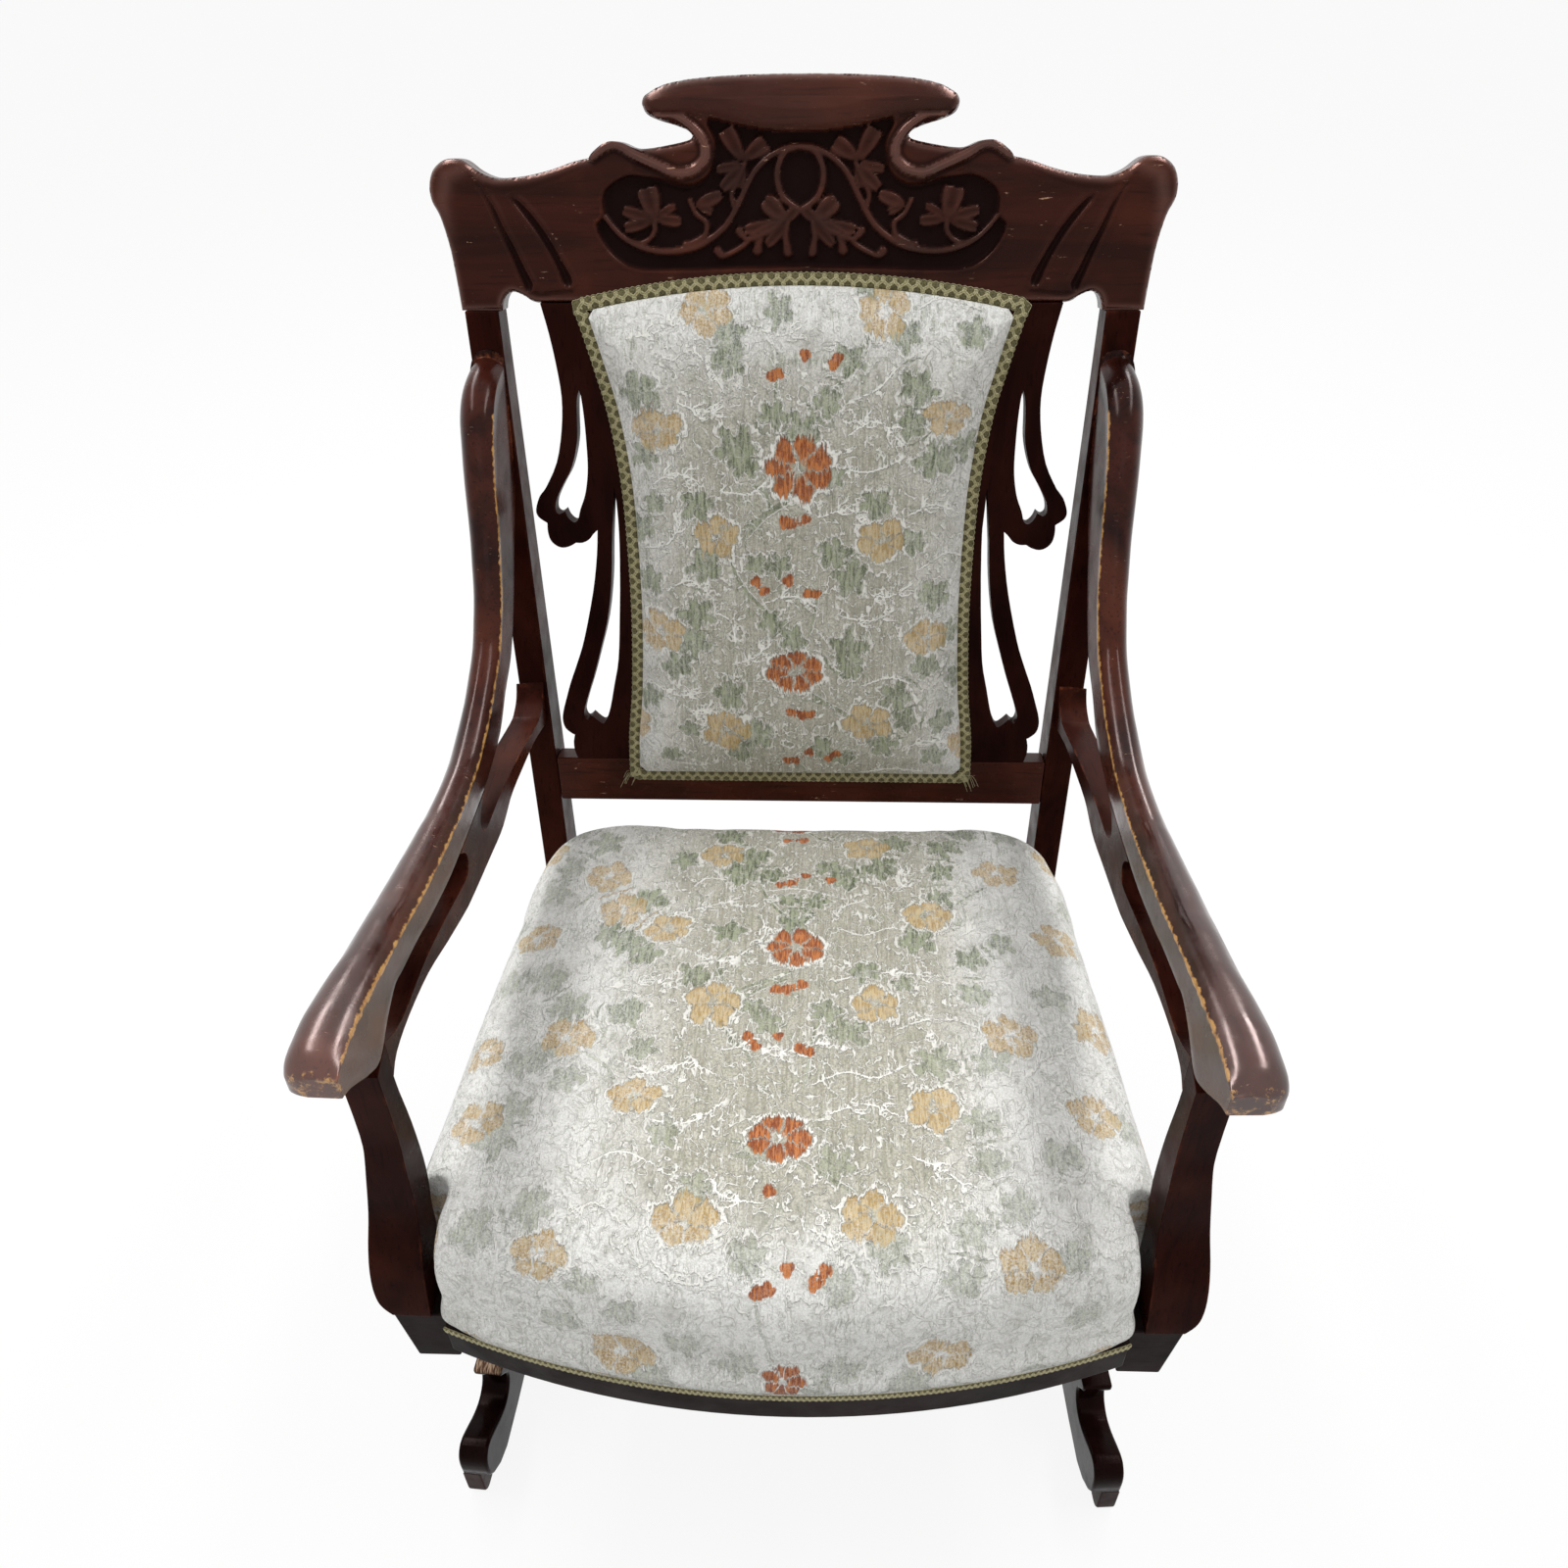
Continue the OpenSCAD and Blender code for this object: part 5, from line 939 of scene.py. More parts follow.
BACK_LEAVES = [
    (3, 408, 15), (24, 431, 12), (-21, 421, 13), (-54, 395, 19), (-46, 378, 13), (30, 369, 10), (-89, 345, 15),
    (-142, 320, 15), (-85, 290, 19), (-59, 464, 16), (-37, 293, 11), (-16, 292, 12), (32, 303, 15), (47, 282, 17),
    (67, 347, 14), (100, 313, 12), (117, 383, 19), (95, 414, 13), (99, 442, 17), (142, 392, 13), (-136, 438, 20),
    (-134, 385, 13), (40, 464, 14), (-57, 481, 15), (-25, 240, 13), (-5, 223, 14), (47, 214, 17), (47, 194, 12),
    (-96, 217, 13), (-111, 194, 17), (-92, 246, 16), (-64, 168, 15), (117, 196, 14), (121, 263, 16), (91, 167, 15),
    (100, 142, 13), (135, 138, 14), (80, 114, 15), (-41, 124, 17), (-56, 106, 12), (22, 112, 12), (43, 99, 13),
    (-103, 131, 10), (-136, 274, 13), (137, 225, 12), (-124, 101, 12), (129, 102, 12), (89, 482, 14), (145, 483, 14),
    (-18, 501, 13), (-141, 159, 13), (147, 181, 12), (60, 521, 15), (-115, 529, 15), (118, 540, 14), (-128, 345, 11)]
SEAT_STEMS = [
    [(-3, -36), (-20, -45), (-38, -54), (-48, -60)], [(-8, -47), (-26, -55), (-44, -70)], [(-58, -92), (-50, -110),
    (-38, -122), (-30, -137)], [(22, -93), (16, -116), (14, -137), (12, -155)], [(38, 166), (26, 152), (10, 171)],
    [(58, 104), (54, 86), (50, 73)], [(138, 48), (157, 66), (173, 80)], [(-165, -125), (-148, -138), (-138, -154)],
    [(-205, 48), (-193, 61), (-183, 73)], [(10, -225), (34, -239), (48, -248)], [(-30, -303), (-20, -322), (-18, -364),
    (-12, -397)], [(18, 68), (10, 43), (4, 26)], [(-32, 71), (-20, 47), (-6, 30)], [(203, -136), (222, -152),
    (232, -160)], [(-150, -364), (-160, -331), (-168, -315)], [(-60, -44), (-65, -27), (-58, -12)]]
BACK_STEMS = [
    [(-6, 356), (-21, 344), (-39, 332), (-48, 326)], [(-10, 348), (-29, 336), (-46, 318)], [(-25, 344), (-29, 357),
    (-37, 361)], [(-19, 450), (-20, 435), (-19, 418)], [(57, 488), (55, 472), (47, 459), (36, 449)], [(-60, 304),
    (-58, 287), (-48, 269), (-35, 254), (-21, 244)], [(16, 264), (14, 248), (10, 231)], [(-29, 248), (-17, 234),
    (-7, 219)], [(9, 170), (25, 160), (40, 150)], [(13, 162), (35, 154), (52, 142)], [(-11, 94), (3, 85), (7, 71)],
    [(70, 131), (78, 123), (84, 111)], [(121, 401), (117, 392), (113, 376)], [(-120, 208), (-114, 200), (-108, 188)],
    [(-66, 118), (-52, 114), (-41, 118)], [(24, 205), (30, 195), (40, 188)]]
SEAT_VINES = [
    [(-150, 20), (-120, 28), (-92, 41), (-61, 52), (-48, 46)], [(44, 16), (61, 10), (85, 20), (104, 16)], [(-165, -53),
    (-142, -50), (-120, -45), (-98, -56)], [(40, -45), (69, -36), (102, -35), (134, -44)], [(89, -97), (112, -86),
    (138, -85), (161, -95)], [(-54, -123), (-30, -118), (-12, -128), (4, -124), (26, -114), (44, -122)], [(-61, -146),
    (-83, -136), (-106, -146), (-138, -133)], [(20, -155), (44, -143), (69, -148), (91, -135)], [(-40, -10), (-58, -25),
    (-83, -18)], [(30, -183), (60, -173), (83, -182)], [(-24, 69), (0, 73), (24, 66), (46, 58)], [(-50, -173),
    (-75, -192), (-102, -191)], [(-20, -258), (-44, -254), (-58, -241)], [(-94, 75), (-83, 87), (-65, 84)], [(20, -278),
    (40, -287), (44, -303)], [(91, 70), (102, 86), (98, 110)], [(-211, -82), (-230, -72), (-236, -52)], [(193, -135),
    (211, -114), (232, -111)], [(148, 15), (167, 29), (193, 30)], [(-100, -228), (-126, -218), (-150, -230)],
    [(96, -219), (120, -231), (140, -251)], [(-30, 32), (-26, 10), (-36, -6)], [(34, 28), (44, 48), (63, 57)],
    [(-120, -272), (-140, -260), (-160, -271)], [(-92, -302), (-70, -315), (-44, -310)], [(84, -327), (104, -348),
    (140, -341)]]
BACK_VINES = [
    [(43, 405), (65, 416), (88, 397)], [(39, 377), (62, 374), (90, 386)], [(-106, 463), (-87, 471), (-64, 442)],
    [(-126, 362), (-109, 372), (-89, 366)], [(-29, 365), (-43, 355), (-68, 357)], [(97, 337), (117, 345), (140, 335)],
    [(-140, 302), (-116, 310), (-101, 335)], [(107, 288), (131, 300), (146, 294)], [(39, 245), (65, 241), (86, 251)],
    [(-116, 269), (-97, 277), (-81, 265)], [(-77, 248), (-62, 240), (-58, 220)], [(55, 270), (78, 263), (101, 275)],
    [(-139, 174), (-115, 165), (-92, 169)], [(61, 178), (83, 186), (102, 180)], [(-105, 153), (-92, 147), (-80, 153)],
    [(-29, 258), (-5, 264), (16, 254)], [(49, 434), (67, 443), (82, 459)], [(-101, 430), (-81, 423), (-64, 427)],
    [(103, 111), (119, 119), (138, 116)], [(-114, 90), (-95, 86), (-79, 94)], [(20, 336), (43, 342), (59, 333)],
    [(-38, 491), (-18, 483), (1, 489)], [(98, 502), (118, 510), (147, 502)], [(-145, 480), (-116, 486), (-100, 500)],
    [(-57, 199), (-38, 207), (-32, 220)], [(61, 77), (90, 83), (119, 80)]]

SIZES = {"rust": 27, "ochre": 22, "bud": 4.9}
LEAFLET = 8, 13  # shortest, longest
BACK_LOW = 67.5  # height of the back pattern's zero


def motif(ob, u, v, name, items, seed, squash=0.9, scale=1.0):
    """Each vertex keeps where it lies in its nearest motif: offset over size, and the motif's own turn."""
    rng = np.random.default_rng(seed)
    best, place = np.full(len(u), 9.0), np.full((len(u), 3), 9.0)
    for x0, y0, *size in items:
        r = (size[0] if size else SIZES[name]) * scale * rng.uniform(0.92, 1.1)
        tall = r * squash * rng.uniform(0.85, 1.12)
        x, y = (u - x0) / r, (v - y0) / tall
        d = np.hypot(x, y)
        near = d < best
        best = np.where(near, d, best)
        place[near] = np.stack([x, y, np.full(len(u), rng.uniform(0, 3.1))], 1)[near]
    attribute(ob, name, place)
    attribute(ob, name + "_d", best)


def cords(ob, u, v, name, lines, reach=9, far=30.0):
    """Each vertex keeps its distance from the nearest line, plain and with its side as the sign."""
    best, sided = np.full(len(u), far), np.full(len(u), far)
    for line in lines:
        lo, hi = line.min(0) - reach, line.max(0) + reach
        pick = np.nonzero((u > lo[0]) & (u < hi[0]) & (v > lo[1]) & (v < hi[1]))[0]
        d, _, _, _, side = nearest(u[pick], v[pick], line)
        k = d < best[pick]
        best[pick[k]], sided[pick[k]] = d[k], (d * side)[k]
    attribute(ob, name + "_d", best)
    attribute(ob, name + "_s", sided)


def sprays(lines, seed):
    """Fern sprays: each curve but every third with short leaflets on both sides."""
    rng = np.random.default_rng(seed)
    out = []
    for k, line in enumerate(lines):
        p = curve(line, 5)
        out.append(p)
        if k % 3 == 1:
            continue
        for i in range(3, len(p) - 1, 4):
            dx, dy = p[i + 1] - p[i - 1]
            for side in (-1, 1):
                b = math.atan2(dy, dx) + side * rng.uniform(0.7, 1.1)
                half = rng.uniform(*LEAFLET) * 0.5
                mid = p[i] + half * np.array([math.cos(b), math.sin(b)])
                end = mid + half * np.array([math.cos(b - side * 0.6), math.sin(b - side * 0.6)])
                out.append(curve([p[i], mid, end], 3))
    return out


def dress(ob, u, v, lists, seed, **shares):
    rust, ochre, buds, leaves, stems, vines = lists
    motif(ob, u, v, "rust", rust, seed)
    motif(ob, u, v, "ochre", ochre, seed + 1)
    motif(ob, u, v, "bud", buds, seed + 2, 1.0)
    motif(ob, u, v, "leaf", leaves, seed + 3, 1.0, 0.95)
    cords(ob, u, v, "stem", [curve(q, 5) for q in stems])
    cords(ob, u, v, "vine", sprays(vines, seed + 4))
    for name, value in shares.items():
        attribute(ob, name, value)


# Stuffed seat and back -----------------------------------------------------
CLOTH = dict(use_pressure=True, uniform_pressure_force=4.0, quality=4, mass=0.3, tension_stiffness=15,
             compression_stiffness=15, bending_stiffness=0.5)
FRAMES = 20
SEAT_FOOT, GIMP_TOP = 334.4, 334.1  # heights
TUCK_TOP, CORNER_TOP, SEAM_TOP = 356, 404, 346  # heights below which the seat is drawn out, and darkened as painted shade
BOW_X, BOW_BACK = 262, -280  # how far the front bow reaches
SIDE_FRONT, SIDE_BACK, CLEAR = -228, 172, 0.6
SEAT_REACH = 424  # from this height down the pattern goes on over the seat's sides


def swollen(name, source, height, shrink, cap_mm, voxel):
    """A cushion from its CAD body: remeshed, blown up as cloth, held within a cap, smoothed.
    Its foot, where the height function is near zero, keeps the CAD outline."""
    ob = add(bpy.data.objects.new(name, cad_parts[source].data.copy()))
    ob.data.materials.clear()
    modify(ob, "remesh", "REMESH", mode="VOXEL", voxel_size=voxel, use_smooth_shade=True)
    apply_modifiers(ob)
    first, nrm = vertex_field(ob), vertex_field(ob, "normal")
    free = step01(height(first / MM), 3, 26)
    start = first - nrm * (free * shrink * MM)[:, None]
    move_to(ob, start)
    cloth = modify(ob, "cloth", "CLOTH").settings
    for k, value in CLOTH.items():
        setattr(cloth, k, value)
    cloth.effector_weights.gravity = 0
    for f in range(FRAMES):
        scene.frame_set(f + 1)
    apply_modifiers(ob)
    move = vertex_field(ob) - start
    far = np.linalg.norm(move, axis=1)
    move *= (np.minimum(far, cap_mm * MM) / np.maximum(far, 1e-9) * free)[:, None]
    move_to(ob, start + move)
    scene.frame_set(1)
    modify(ob, "even", "SMOOTH", factor=0.5, iterations=5)
    modify(ob, "fine", "SUBSURF", levels=1, render_levels=1)
    apply_modifiers(ob)
    return ob


PANEL_SIDE = [[1, 0], [0.99, 0.1], [0.955, 0.21], [0.932, 0.36], [0.93, 0.5], [0.943, 0.63], [0.985, 0.75],
              [1.045, 0.84], [1.136, 0.957]]
PANEL_H, PANEL_TOP, PANEL_LOW, PANEL_FOOT, BRAID = 466.0, 384.0, 338.0, 131.0, 12.0


def panel_ring(inset):
    """The back panel's outline, across and up from the panel's foot."""
    grow = PANEL_TOP / PANEL_LOW / PANEL_SIDE[8][0]
    share = PANEL_SIDE[8][1]
    side = np.array([(q[0] * PANEL_LOW / 2 * (1 + (grow - 1) * q[1] / share) - inset, q[1] * PANEL_H)
                     for q in curve(PANEL_SIDE, 6)])
    rise = PANEL_H * (1 - share)
    t = np.linspace(0, 1, 40)
    top = np.stack([side[-1][0] * (1 - 2 * t), PANEL_H - rise * (1 - 2 * t) ** 2 - inset], 1)
    side = side[(side[:, 1] > inset + 1) & (side[:, 1] < top[0][1] - 1)]
    half = PANEL_LOW / 2 - inset
    right = np.concatenate([[[half, inset]], side])
    foot = np.stack([np.linspace(-half, half, 30)[1:-1], np.full(28, inset)], 1)
    return np.concatenate([right, top, (right * [-1, 1])[::-1], foot])


def finish_soft(ob, source):
    paint(ob, fabric)
    stands_for(ob, source)


seat = swollen("seat_cushion", "seat_pad", lambda q: q[:, 2] - SEAT_FOOT, 6.0, 7.0, 0.0062)
p, nrm = vertex_field(seat) / MM, vertex_field(seat, "normal")
# the cloth is pulled down and out to the trimmed edge of the rails
flat_n = nrm[:, :2] / (np.linalg.norm(nrm[:, :2], axis=1)[:, None] + 1e-6)
tuck = step01(TUCK_TOP - p[:, 2], 0, 18)
far = np.hypot(p[:, 0], p[:, 1] - BOW_Y)
gap = BOW_R + CLEAR - far
at_bow = (np.abs(p[:, 0]) < BOW_X) & (p[:, 1] < BOW_BACK) & (gap > -4) & (gap < 20)
pull = np.where(at_bow, gap, 0) * tuck * step01(BOW_X - np.abs(p[:, 0]), 0, 40)
p[:, 0] += pull * p[:, 0] / far
p[:, 1] += pull * (p[:, 1] - BOW_Y) / far
gap = side_x(p[:, 1]) + CLEAR - np.abs(p[:, 0])
at_side = (p[:, 1] > SIDE_FRONT) & (p[:, 1] < SIDE_BACK) & (gap > -4) & (gap < 16)
p[:, 0] += np.sign(p[:, 0]) * np.where(at_side, gap, 0) * tuck
p[:, 2] -= np.clip((p[:, 2].min() - GIMP_TOP) * tuck, 0, 4)
move_to(seat, p * MM)
seat.data.update()
down = np.maximum(SEAT_REACH - p[:, 2], 0)[:, None] * step01(1 - np.abs(nrm[:, 2]), 0.1, 0.5)[:, None]
u, v = (p[:, :2] + down * flat_n).T
# on the seat wear_and_shade is pile thinned by rubbing in the middle
wear_and_shade = step01(215 - np.abs(u + 10), 0, 130) * step01(v + 345, 0, 130) * (0.55 + 0.45 * step01(u + 150, 0, 120))
# painted shade on the cushion's sideways-facing sides
corner = 0.30 * step01(np.abs(flat_n[:, 0]), 0.6, 0.9) * step01(CORNER_TOP - p[:, 2], 0, 26)
# dark is painted shade: along the seat's low edge by the gimp and on its sideways-facing sides
dress(seat, u, v, (SEAT_RUST, SEAT_OCHRE, SEAT_BUDS, SEAT_LEAVES, SEAT_STEMS, SEAT_VINES), 11, mid=wear_and_shade,
      tint=0.55 + 0.45 * step01(v, -220, 60) * step01(230 - np.abs(u), 0, 90),
      dark=0.30 * step01(SEAM_TOP - p[:, 2], 0, 12) + corner)
finish_soft(seat, "seat_pad")


def back_place(q):
    """Across, up from the seat top and out of the front plane: to_back the other way round."""
    y, z = q[:, 1] - BACK_Y, q[:, 2] - SEAT_TOP
    return q[:, 0], y * math.sin(LEAN) + z * math.cos(LEAN), -(y * math.cos(LEAN) - z * math.sin(LEAN))


back = swollen("back_cushion", "back_pad", lambda q: back_place(q)[2] - 1.0, 4.0, 6.0, 0.005)
u, v, out = back_place(vertex_field(back) / MM)
# its foot is drawn to the braid
best, _, px, py, _ = nearest(u, v - PANEL_FOOT, panel_ring(10.6), True)
w = step01(11 - out, 0, 9) * (best < 14)
move_to(back, to_back(u + (px - u) * w, -out, v + (py + PANEL_FOOT - v) * w) * MM)
back.data.update()
u, v, out = back_place(vertex_field(back) / MM)
v = v - BACK_LOW
# painted shade on the back: mid darkens all but its top to beige, most in the middle, and dark darkens its foot by the
# braid
dress(back, u, v, (BACK_RUST, BACK_OCHRE, BACK_BUDS, BACK_LEAVES, BACK_STEMS, BACK_VINES), 5,
      mid=0.55 * step01(160 - np.abs(u), 0, 90) * step01(520 - v, 0, 140) + 0.30 * step01(540 - v, 0, 100),
      tint=np.full(len(u), 0.9), dark=0.30 * step01(4 - out, 0, 5))
finish_soft(back, "back_pad")


# Braid and gimp ------------------------------------------------------------
def resample(points, step):
    """Even steps along a closed line."""
    p = np.concatenate([points, points[:1]])
    at = np.concatenate([[0], np.cumsum(np.linalg.norm(np.diff(p, axis=0), axis=1))])
    q = np.linspace(0, at[-1], int(round(at[-1] / step)) + 1)
    return np.stack([np.interp(q, at, p[:, k]) for k in range(2)], 1)[:-1]


def gimp(path, across, out, width, pitch, wire, close, band_t):
    """Scroll gimp: a thin woven band, and a cord on each half that loops between the middle and the edge."""
    n, wide = len(path), width > 9
    steps, round_cord, round_edge = (16, 6, 5) if wide else (10, 5, 4)
    u = np.linspace(-0.5, 0.5, 9)
    lift = band_t * np.sqrt(np.maximum(1 - (2 * u) ** 4, 0.05))
    flat = path[:, None] + across[:, None] * (u * width * 0.86)[None, :, None]
    ringed = np.concatenate([flat + out[:, None] * lift[None, :, None], flat[:, ::-1]], 1)
    parts = [(ringed.reshape(-1, 3), grid_faces(n, 18, wrap_rows=close), 0.0)]
    seg = np.linalg.norm(np.roll(path, -1, 0) - path, axis=1)
    total = seg.sum() if close else seg[:-1].sum()
    loops = max(int(round(total / pitch)), 2)
    at = np.concatenate([[0], np.cumsum(seg)])[:n + 1]
    q = np.linspace(0, total, loops * steps, endpoint=not close)
    real = total / loops
    up = tuple(np.mean(out, 0) + 1e-3)

    def along(pos):
        """Point, way across and way out at places along the path."""
        ends = ((np.concatenate([a, a[:1]]) if close else a) for a in (path, across, out))
        return [np.stack([np.interp(pos, at if close else at[:n], a[:, k]) for k in range(3)], 1) for a in ends]

    def cord(pos, off, height, radius, ring, share):
        c, a, o = along(pos)
        line = c + a * off[:, None] + o * (height[:, None] if np.ndim(height) else height)
        parts.append((*tube(line, radius, ring, close, up=up), share))

    ph = q / real * 2 * math.pi
    pos, off = q - 0.20 * real * np.sin(2 * ph), width * 0.31 * np.cos(ph)
    dp, do = (np.roll(a, -1) - np.roll(a, 1) for a in (pos, off))
    dp = (dp + total / 2) % total - total / 2
    size = np.hypot(dp, do) + 1e-9
    for side in (-1, 1):
        x, w = pos - side * 1.15 * wire * do / size, off + side * 1.15 * wire * dp / size
        h = band_t * np.sqrt(np.maximum(1 - (1.9 * w / width) ** 4, 0.05)) + wire * 0.7
        cord(x % total if close else np.clip(x, 0, total), w, h, wire, round_cord, 1.0)
    for side in (-1, 1):
        # the picot edge that holds the loops
        edge = side * width * (0.44 + 0.035 * np.cos(q / real * 4 * math.pi))
        cord(q, edge, band_t * 0.5, wire * 0.55, round_edge, 0.8)
    return parts


def braided(name, parts, node):
    ob = joined(name, [q[:2] for q in parts])
    attribute(ob, "cord", np.concatenate([np.full(len(q[0]), q[2]) for q in parts]))
    paint(ob, gimp_mat)
    stands_for(ob, node)


ring = resample(panel_ring(BRAID / 2), 3.0)
tang = np.roll(ring, -1, 0) - np.roll(ring, 1, 0)
tang /= np.linalg.norm(tang, axis=1)[:, None]
path = to_back(ring[:, 0], -0.2, ring[:, 1] + PANEL_FOOT)
across = to_back(ring[:, 0] + tang[:, 1], -0.2, ring[:, 1] + PANEL_FOOT - tang[:, 0]) - path
BACK_OUT, BACK_UP = (to_back(*q) - to_back(0, 0, 0) for q in ((0, -1, 0), (0, 0, 1)))
parts = gimp(path, across, np.tile(BACK_OUT, (len(ring), 1)), BRAID, 9.6, 0.60, True, 1.5)
rng = np.random.default_rng(3)
for s in (-1, 1):
    for _ in range(9):
        # frayed ends at the lower corners
        x, v = s * (PANEL_LOW / 2 - rng.uniform(0, 12)), PANEL_FOOT + rng.uniform(1, 10)
        long, a = rng.uniform(5, 15), rng.uniform(-0.9, 0.5)
        t = np.linspace(0, 1, 7)
        dx = s * long * (0.55 * t + 0.3 * t * t) * math.cos(a)
        dv = long * (0.25 * np.sin(t * 3) - 0.9 * t * t)
        fray = to_back(x + dx, -1.2 - 1.2 * np.sin(t * 2.5), v + dv)
        parts.append((*tube(fray, 0.24, 4, up=(1, 0.3, 0.2)), 0.9))
braided("back_gimp", parts, "back_braid")

# the seat's gimp follows the front bow and both sides
GIMP_Z, GIMP_OFF = 331.2, 0.3
GIMP = 7.6, 4.4, 0.45, False, 0.8
arc = math.asin(BOW_HALF / BOW_R)
ang = np.linspace(-arc, arc, 170)
front = np.stack([BOW_R * np.sin(ang), BOW_Y - BOW_R * np.cos(ang), np.full(170, GIMP_Z)], 1)
out = np.stack([np.sin(ang), -np.cos(ang), np.zeros(170)], 1)
parts = gimp(front + out * GIMP_OFF, np.tile([0, 0, 1.0], (170, 1)), out, *GIMP)
for s in (-1, 1):
    y = np.linspace(-240, BACK_Y - 5, 140)
    line = np.stack([s * (side_x(y) + GIMP_OFF), y, np.full(140, GIMP_Z)], 1)
    out = np.tile([s * math.cos(TAPER), math.sin(TAPER), 0], (140, 1))
    parts += gimp(line, np.tile([0, 0, 1.0], (140, 1)), out, *GIMP)
braided("seat_edge_gimp", parts, "seat_gimp")


# Cloth behind the back and under the seat, and the straps --------------------
FRET_T = 16.0
CLOTH_LOW, CLOTH_TOP = 158, 566  # the outer cloth's edges, up the back
low, top, behind = PANEL_LOW / 2 - 14, PANEL_TOP / 2 - 16, FRET_T + 5.2
c00, c10, c11, c01 = (to_back(x, behind, v) for x, v in (
    (-low, CLOTH_LOW), (low, CLOTH_LOW), (top, CLOTH_TOP), (-top, CLOTH_TOP)))
U, V = (q[..., None] for q in np.meshgrid(np.linspace(0, 1, 40), np.linspace(0, 1, 48)))
p = c00 * (1 - U) * (1 - V) + c10 * U * (1 - V) + c11 * U * V + c01 * (1 - U) * V
n = np.cross(c10 - c00, c01 - c00)
n /= np.linalg.norm(n)
sag = (np.sin(U * math.pi) * np.sin(V * math.pi)) ** 0.6
ripple = 0.25 * np.sin(U * 9 + 2 * V) * np.sin(V * 7) + 0.75
outer = make("outer_back_cloth", (p + n * (-1.2 * sag * ripple)).reshape(-1, 3), grid_faces(48, 40, wrap_cols=False))
thicken(outer, 0.9 * MM, outer_cloth)
stands_for(outer, "back_outer_cloth")

lo, hi = box_mm("dust_cover")
DUST_HALF = 232
bow = np.linspace(-1, 1, 41)
front = BOW_Y - np.sqrt((BOW_R - 12) ** 2 - (bow * DUST_HALF) ** 2)
rows = []
for f in np.arange(34) / 33:
    y = front * (1 - f) + (hi[1] - 1) * f
    half = np.minimum(DUST_HALF + 14 * step01(f, 0, 0.12), side_x(y) - 24)
    sag = 0.35 * np.sin(bow * 6 + f * 5) * math.sin(f * math.pi)
    rows.append(np.stack([bow * half, y, (lo[2] + hi[2]) / 2 + sag], 1))
dust = make("dust_cloth", np.concatenate(rows), grid_faces(34, 41, wrap_cols=False))
thicken(dust, 0.0007, black_cloth)
stands_for(dust, "dust_cover")


def straps(name, node, runs, normal, thick=0.55):
    """Jute straps that pass over and under each other; each run is start, end, across, phase, crossings."""
    parts, normal = [], np.array(normal, float)
    for *ends, phase, crossings in runs:
        start, end, wide = (np.array(q, float) for q in ends)
        n = 8 * crossings + 1
        f = np.linspace(0, 1, n)[:, None]
        mid = start + (end - start) * f + normal * (1.0 * np.cos((f * crossings + phase) * math.pi))
        ring = [mid + a * wide / 2 + b * normal * thick for a, b in ((-1, -1), (1, -1), (1, 1), (-1, 1))]
        parts.append((np.stack(ring, 1).reshape(-1, 3), capped_grid(n, 4)))
    ob = joined(name, parts)
    paint(ob, jute, smooth=False)
    stands_for(ob, node)


lo, hi = box_mm("seat_webbing")
z = (lo[2] + hi[2]) / 2
runs = []
for k in range(5):
    y = lo[1] + (hi[1] - lo[1]) * (k + 0.5) / 5
    half = side_x(y) - 26
    if y < -230:
        half = min(half, math.sqrt((BOW_R - 30) ** 2 - (BOW_Y - y + 26) ** 2))
    runs.append(((-half, y, z), (half, y, z), (0, 50, 0), k % 2, 5))
for k in range(5):
    x = -190 + 95 * k
    front = BOW_Y - math.sqrt((BOW_R - 14) ** 2 - (abs(x) + 25) ** 2)
    runs.append(((x, front, z), (x, hi[1] - 2, z), (50, 0, 0), (k + 1) % 2, 5))
straps("seat_straps", "seat_webbing", runs, (0, 0, 1))
lo, hi = box_mm("back_webbing")
behind = FRET_T + 2
runs = []
for k in range(5):
    v = 154 + (hi[2] - lo[2]) / 5.2 * (k + 0.5)
    runs.append((to_back(-150, behind, v), to_back(150, behind, v), BACK_UP * 48, k % 2, 3))
for k in range(3):
    x = -85 + 85 * k
    runs.append((to_back(x, behind, 156), to_back(x, behind, 566), (48, 0, 0), (k + 1) % 2, 5))
straps("back_straps", "back_webbing", runs, BACK_OUT)

# Rocker springs ------------------------------------------------------------
WIRE, TURNS, SPRING_LOW, SPRING_TOP = 2.3, 7, 55.4, 167.6
COIL_R = (34 - 2 * WIRE) / 2  # to the middle of the wire
t = np.linspace(0, 1, TURNS * 26 + 1)
for node in ("left_front_spring", "left_rear_spring", "right_front_spring", "right_rear_spring"):
    lo, hi = box_mm(node)
    c = (lo + hi) / 2
    z0, z1 = SPRING_LOW + WIRE, SPRING_TOP - WIRE
    ph = t * TURNS * 2 * math.pi + (math.pi if node.startswith("left") else 0)
    pts = np.stack([c[0] + COIL_R * np.cos(ph), c[1] + COIL_R * np.sin(ph), z0 + (z1 - z0) * t], 1)
    ob = joined(node + "_coil", [tube(pts, WIRE, 12)])
    paint(ob, steel)
    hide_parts(node)
    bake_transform(ob)

# Camera, fitted to the photo -----------------------------------------------
CAM = np.array([25.0, -781.2, 1238.2])
PITCH, YAW, ROLL = (math.radians(a) for a in (40.15, -2.34, -0.83))
PHOTO, F_PX, CX, CY = 1600, 1287.0, 800.6, 842.2


def turn(i, j, angle):
    """A rotation that mixes two axes."""
    m = np.eye(3)
    m[i, i] = m[j, j] = math.cos(angle)
    m[i, j] = -math.sin(angle)
    m[j, i] = math.sin(angle)
    return m


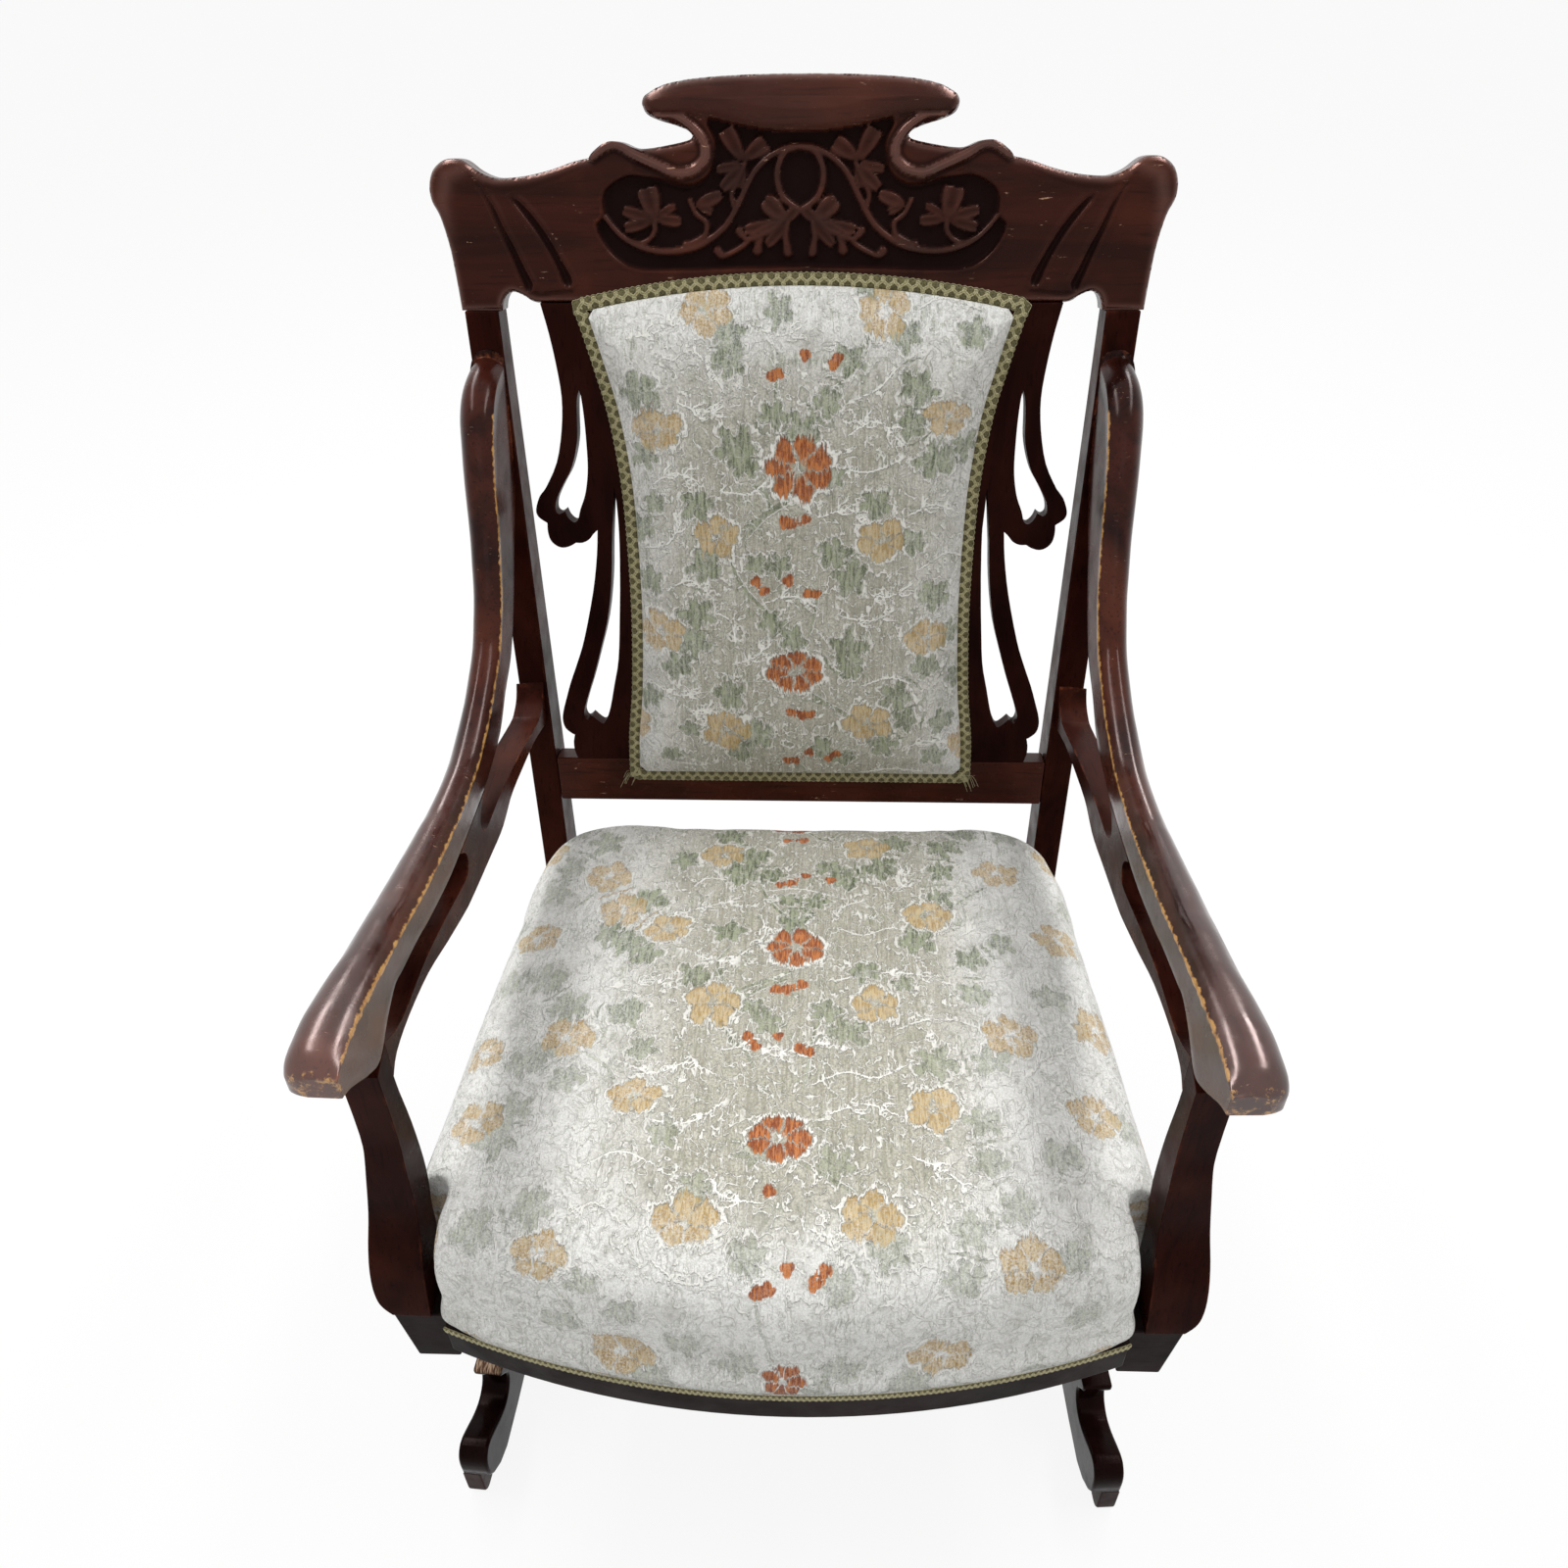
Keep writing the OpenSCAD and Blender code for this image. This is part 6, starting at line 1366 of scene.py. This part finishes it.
upright = np.array([[1, 0, 0], [0, 0, -1], [0, 1, 0]], float)
right, down, forward = turn(0, 1, ROLL) @ turn(1, 2, PITCH) @ upright @ turn(0, 1, YAW)
cam = add(bpy.data.objects.new("camera", bpy.data.cameras.new("camera")))
cam.data.sensor_width = 36.0
cam.data.lens = 36.0 * F_PX / PHOTO
cam.data.shift_x = (PHOTO / 2 - CX) / PHOTO
cam.data.shift_y = (CY - PHOTO / 2) / PHOTO
cam.data.clip_start, cam.data.clip_end = 0.02, 100
pose = np.eye(4)
pose[:3] = np.stack([right, -down, -forward, CAM * MM], 1)
cam.matrix_world = Matrix(pose.tolist())
scene.camera = cam

# Floor and light -----------------------------------------------------------
UNSEEN = ("Is Glossy Ray", "Is Transmission Ray")
FLOOR, FLOOR_Z = 30, -0.0002
floor_me = bpy.data.meshes.new("floor")
corners = ((-1, -1), (1, -1), (1, 1), (-1, 1))
floor_me.from_pydata([(x * FLOOR, y * FLOOR, FLOOR_Z) for x, y in corners], [], [(0, 1, 2, 3)])
floor = add(bpy.data.objects.new("floor", floor_me))
fn = Nodes("floor")
fn.out(Base_Color=(0.86, 0.86, 0.86), Roughness=0.9, Specular_IOR_Level=0.1)
glow = fn.new("ShaderNodeEmission", "Emission", {"Color": (1, 1, 1), "Strength": 1.0})
rays = fn.new("ShaderNodeLightPath")
camera, glossy, through = (Value(fn, rays.outputs[kind]) for kind in ("Is Camera Ray", *UNSEEN))
seen = fn.top(camera, fn.top(glossy, through))
shaders = fn.new("ShaderNodeMixShader", 0, {0: seen * 0.90, 1: Value(fn, fn.bsdf.outputs[0]), 2: glow})
fn.put(fn.t.nodes["Material Output"].inputs["Surface"], shaders)
floor_me.materials.append(fn.mat)

# the world is white to the camera and gives the chair a little more than half of that light
world = bpy.data.worlds.new("studio")
scene.world = world
world.use_nodes = True
wt = world.node_tree
bg = wt.nodes["Background"]
bg.inputs["Color"].default_value = (1, 1, 1, 1)
rays = wt.nodes.new("ShaderNodeLightPath")
view = rays.outputs["Is Camera Ray"]
for kind in UNSEEN:
    either = wt.nodes.new("ShaderNodeMath")
    either.operation = "MAXIMUM"
    wt.links.new(view, either.inputs[0])
    wt.links.new(rays.outputs[kind], either.inputs[1])
    view = either.outputs[0]
level = wt.nodes.new("ShaderNodeMapRange")
level.inputs["To Min"].default_value = 0.54
level.inputs["To Max"].default_value = 1.0
wt.links.new(view, level.inputs["Value"])
wt.links.new(level.outputs["Result"], bg.inputs["Strength"])


def lamp(name, size, energy, place, target, size_y=None):
    """An area lamp; its longer side runs front to back."""
    d = bpy.data.lights.new(name, "AREA")
    d.shape = "RECTANGLE"
    d.size, d.size_y = size, size_y or size
    d.energy = energy
    z = (Vector(place) - Vector(target)).normalized()
    x = Vector((0, 1, 0)).cross(z).normalized()
    m = Matrix((x, z.cross(x), z)).transposed().to_4x4()
    m.translation = Vector(place)
    add(bpy.data.objects.new(name, d)).matrix_world = m


lamp("left_strip", 0.5, 55, (-1.35, 0.75, 2.9), (-0.1, 0, 0.5), 3.2)
lamp("right_strip", 0.5, 55, (1.40, 0.75, 2.9), (0.1, 0, 0.5), 3.2)
lamp("front", 1.4, 3, (0.1, -2.6, 2.3), (0, 0, 0.5))
scene.view_settings.view_transform = "Standard"
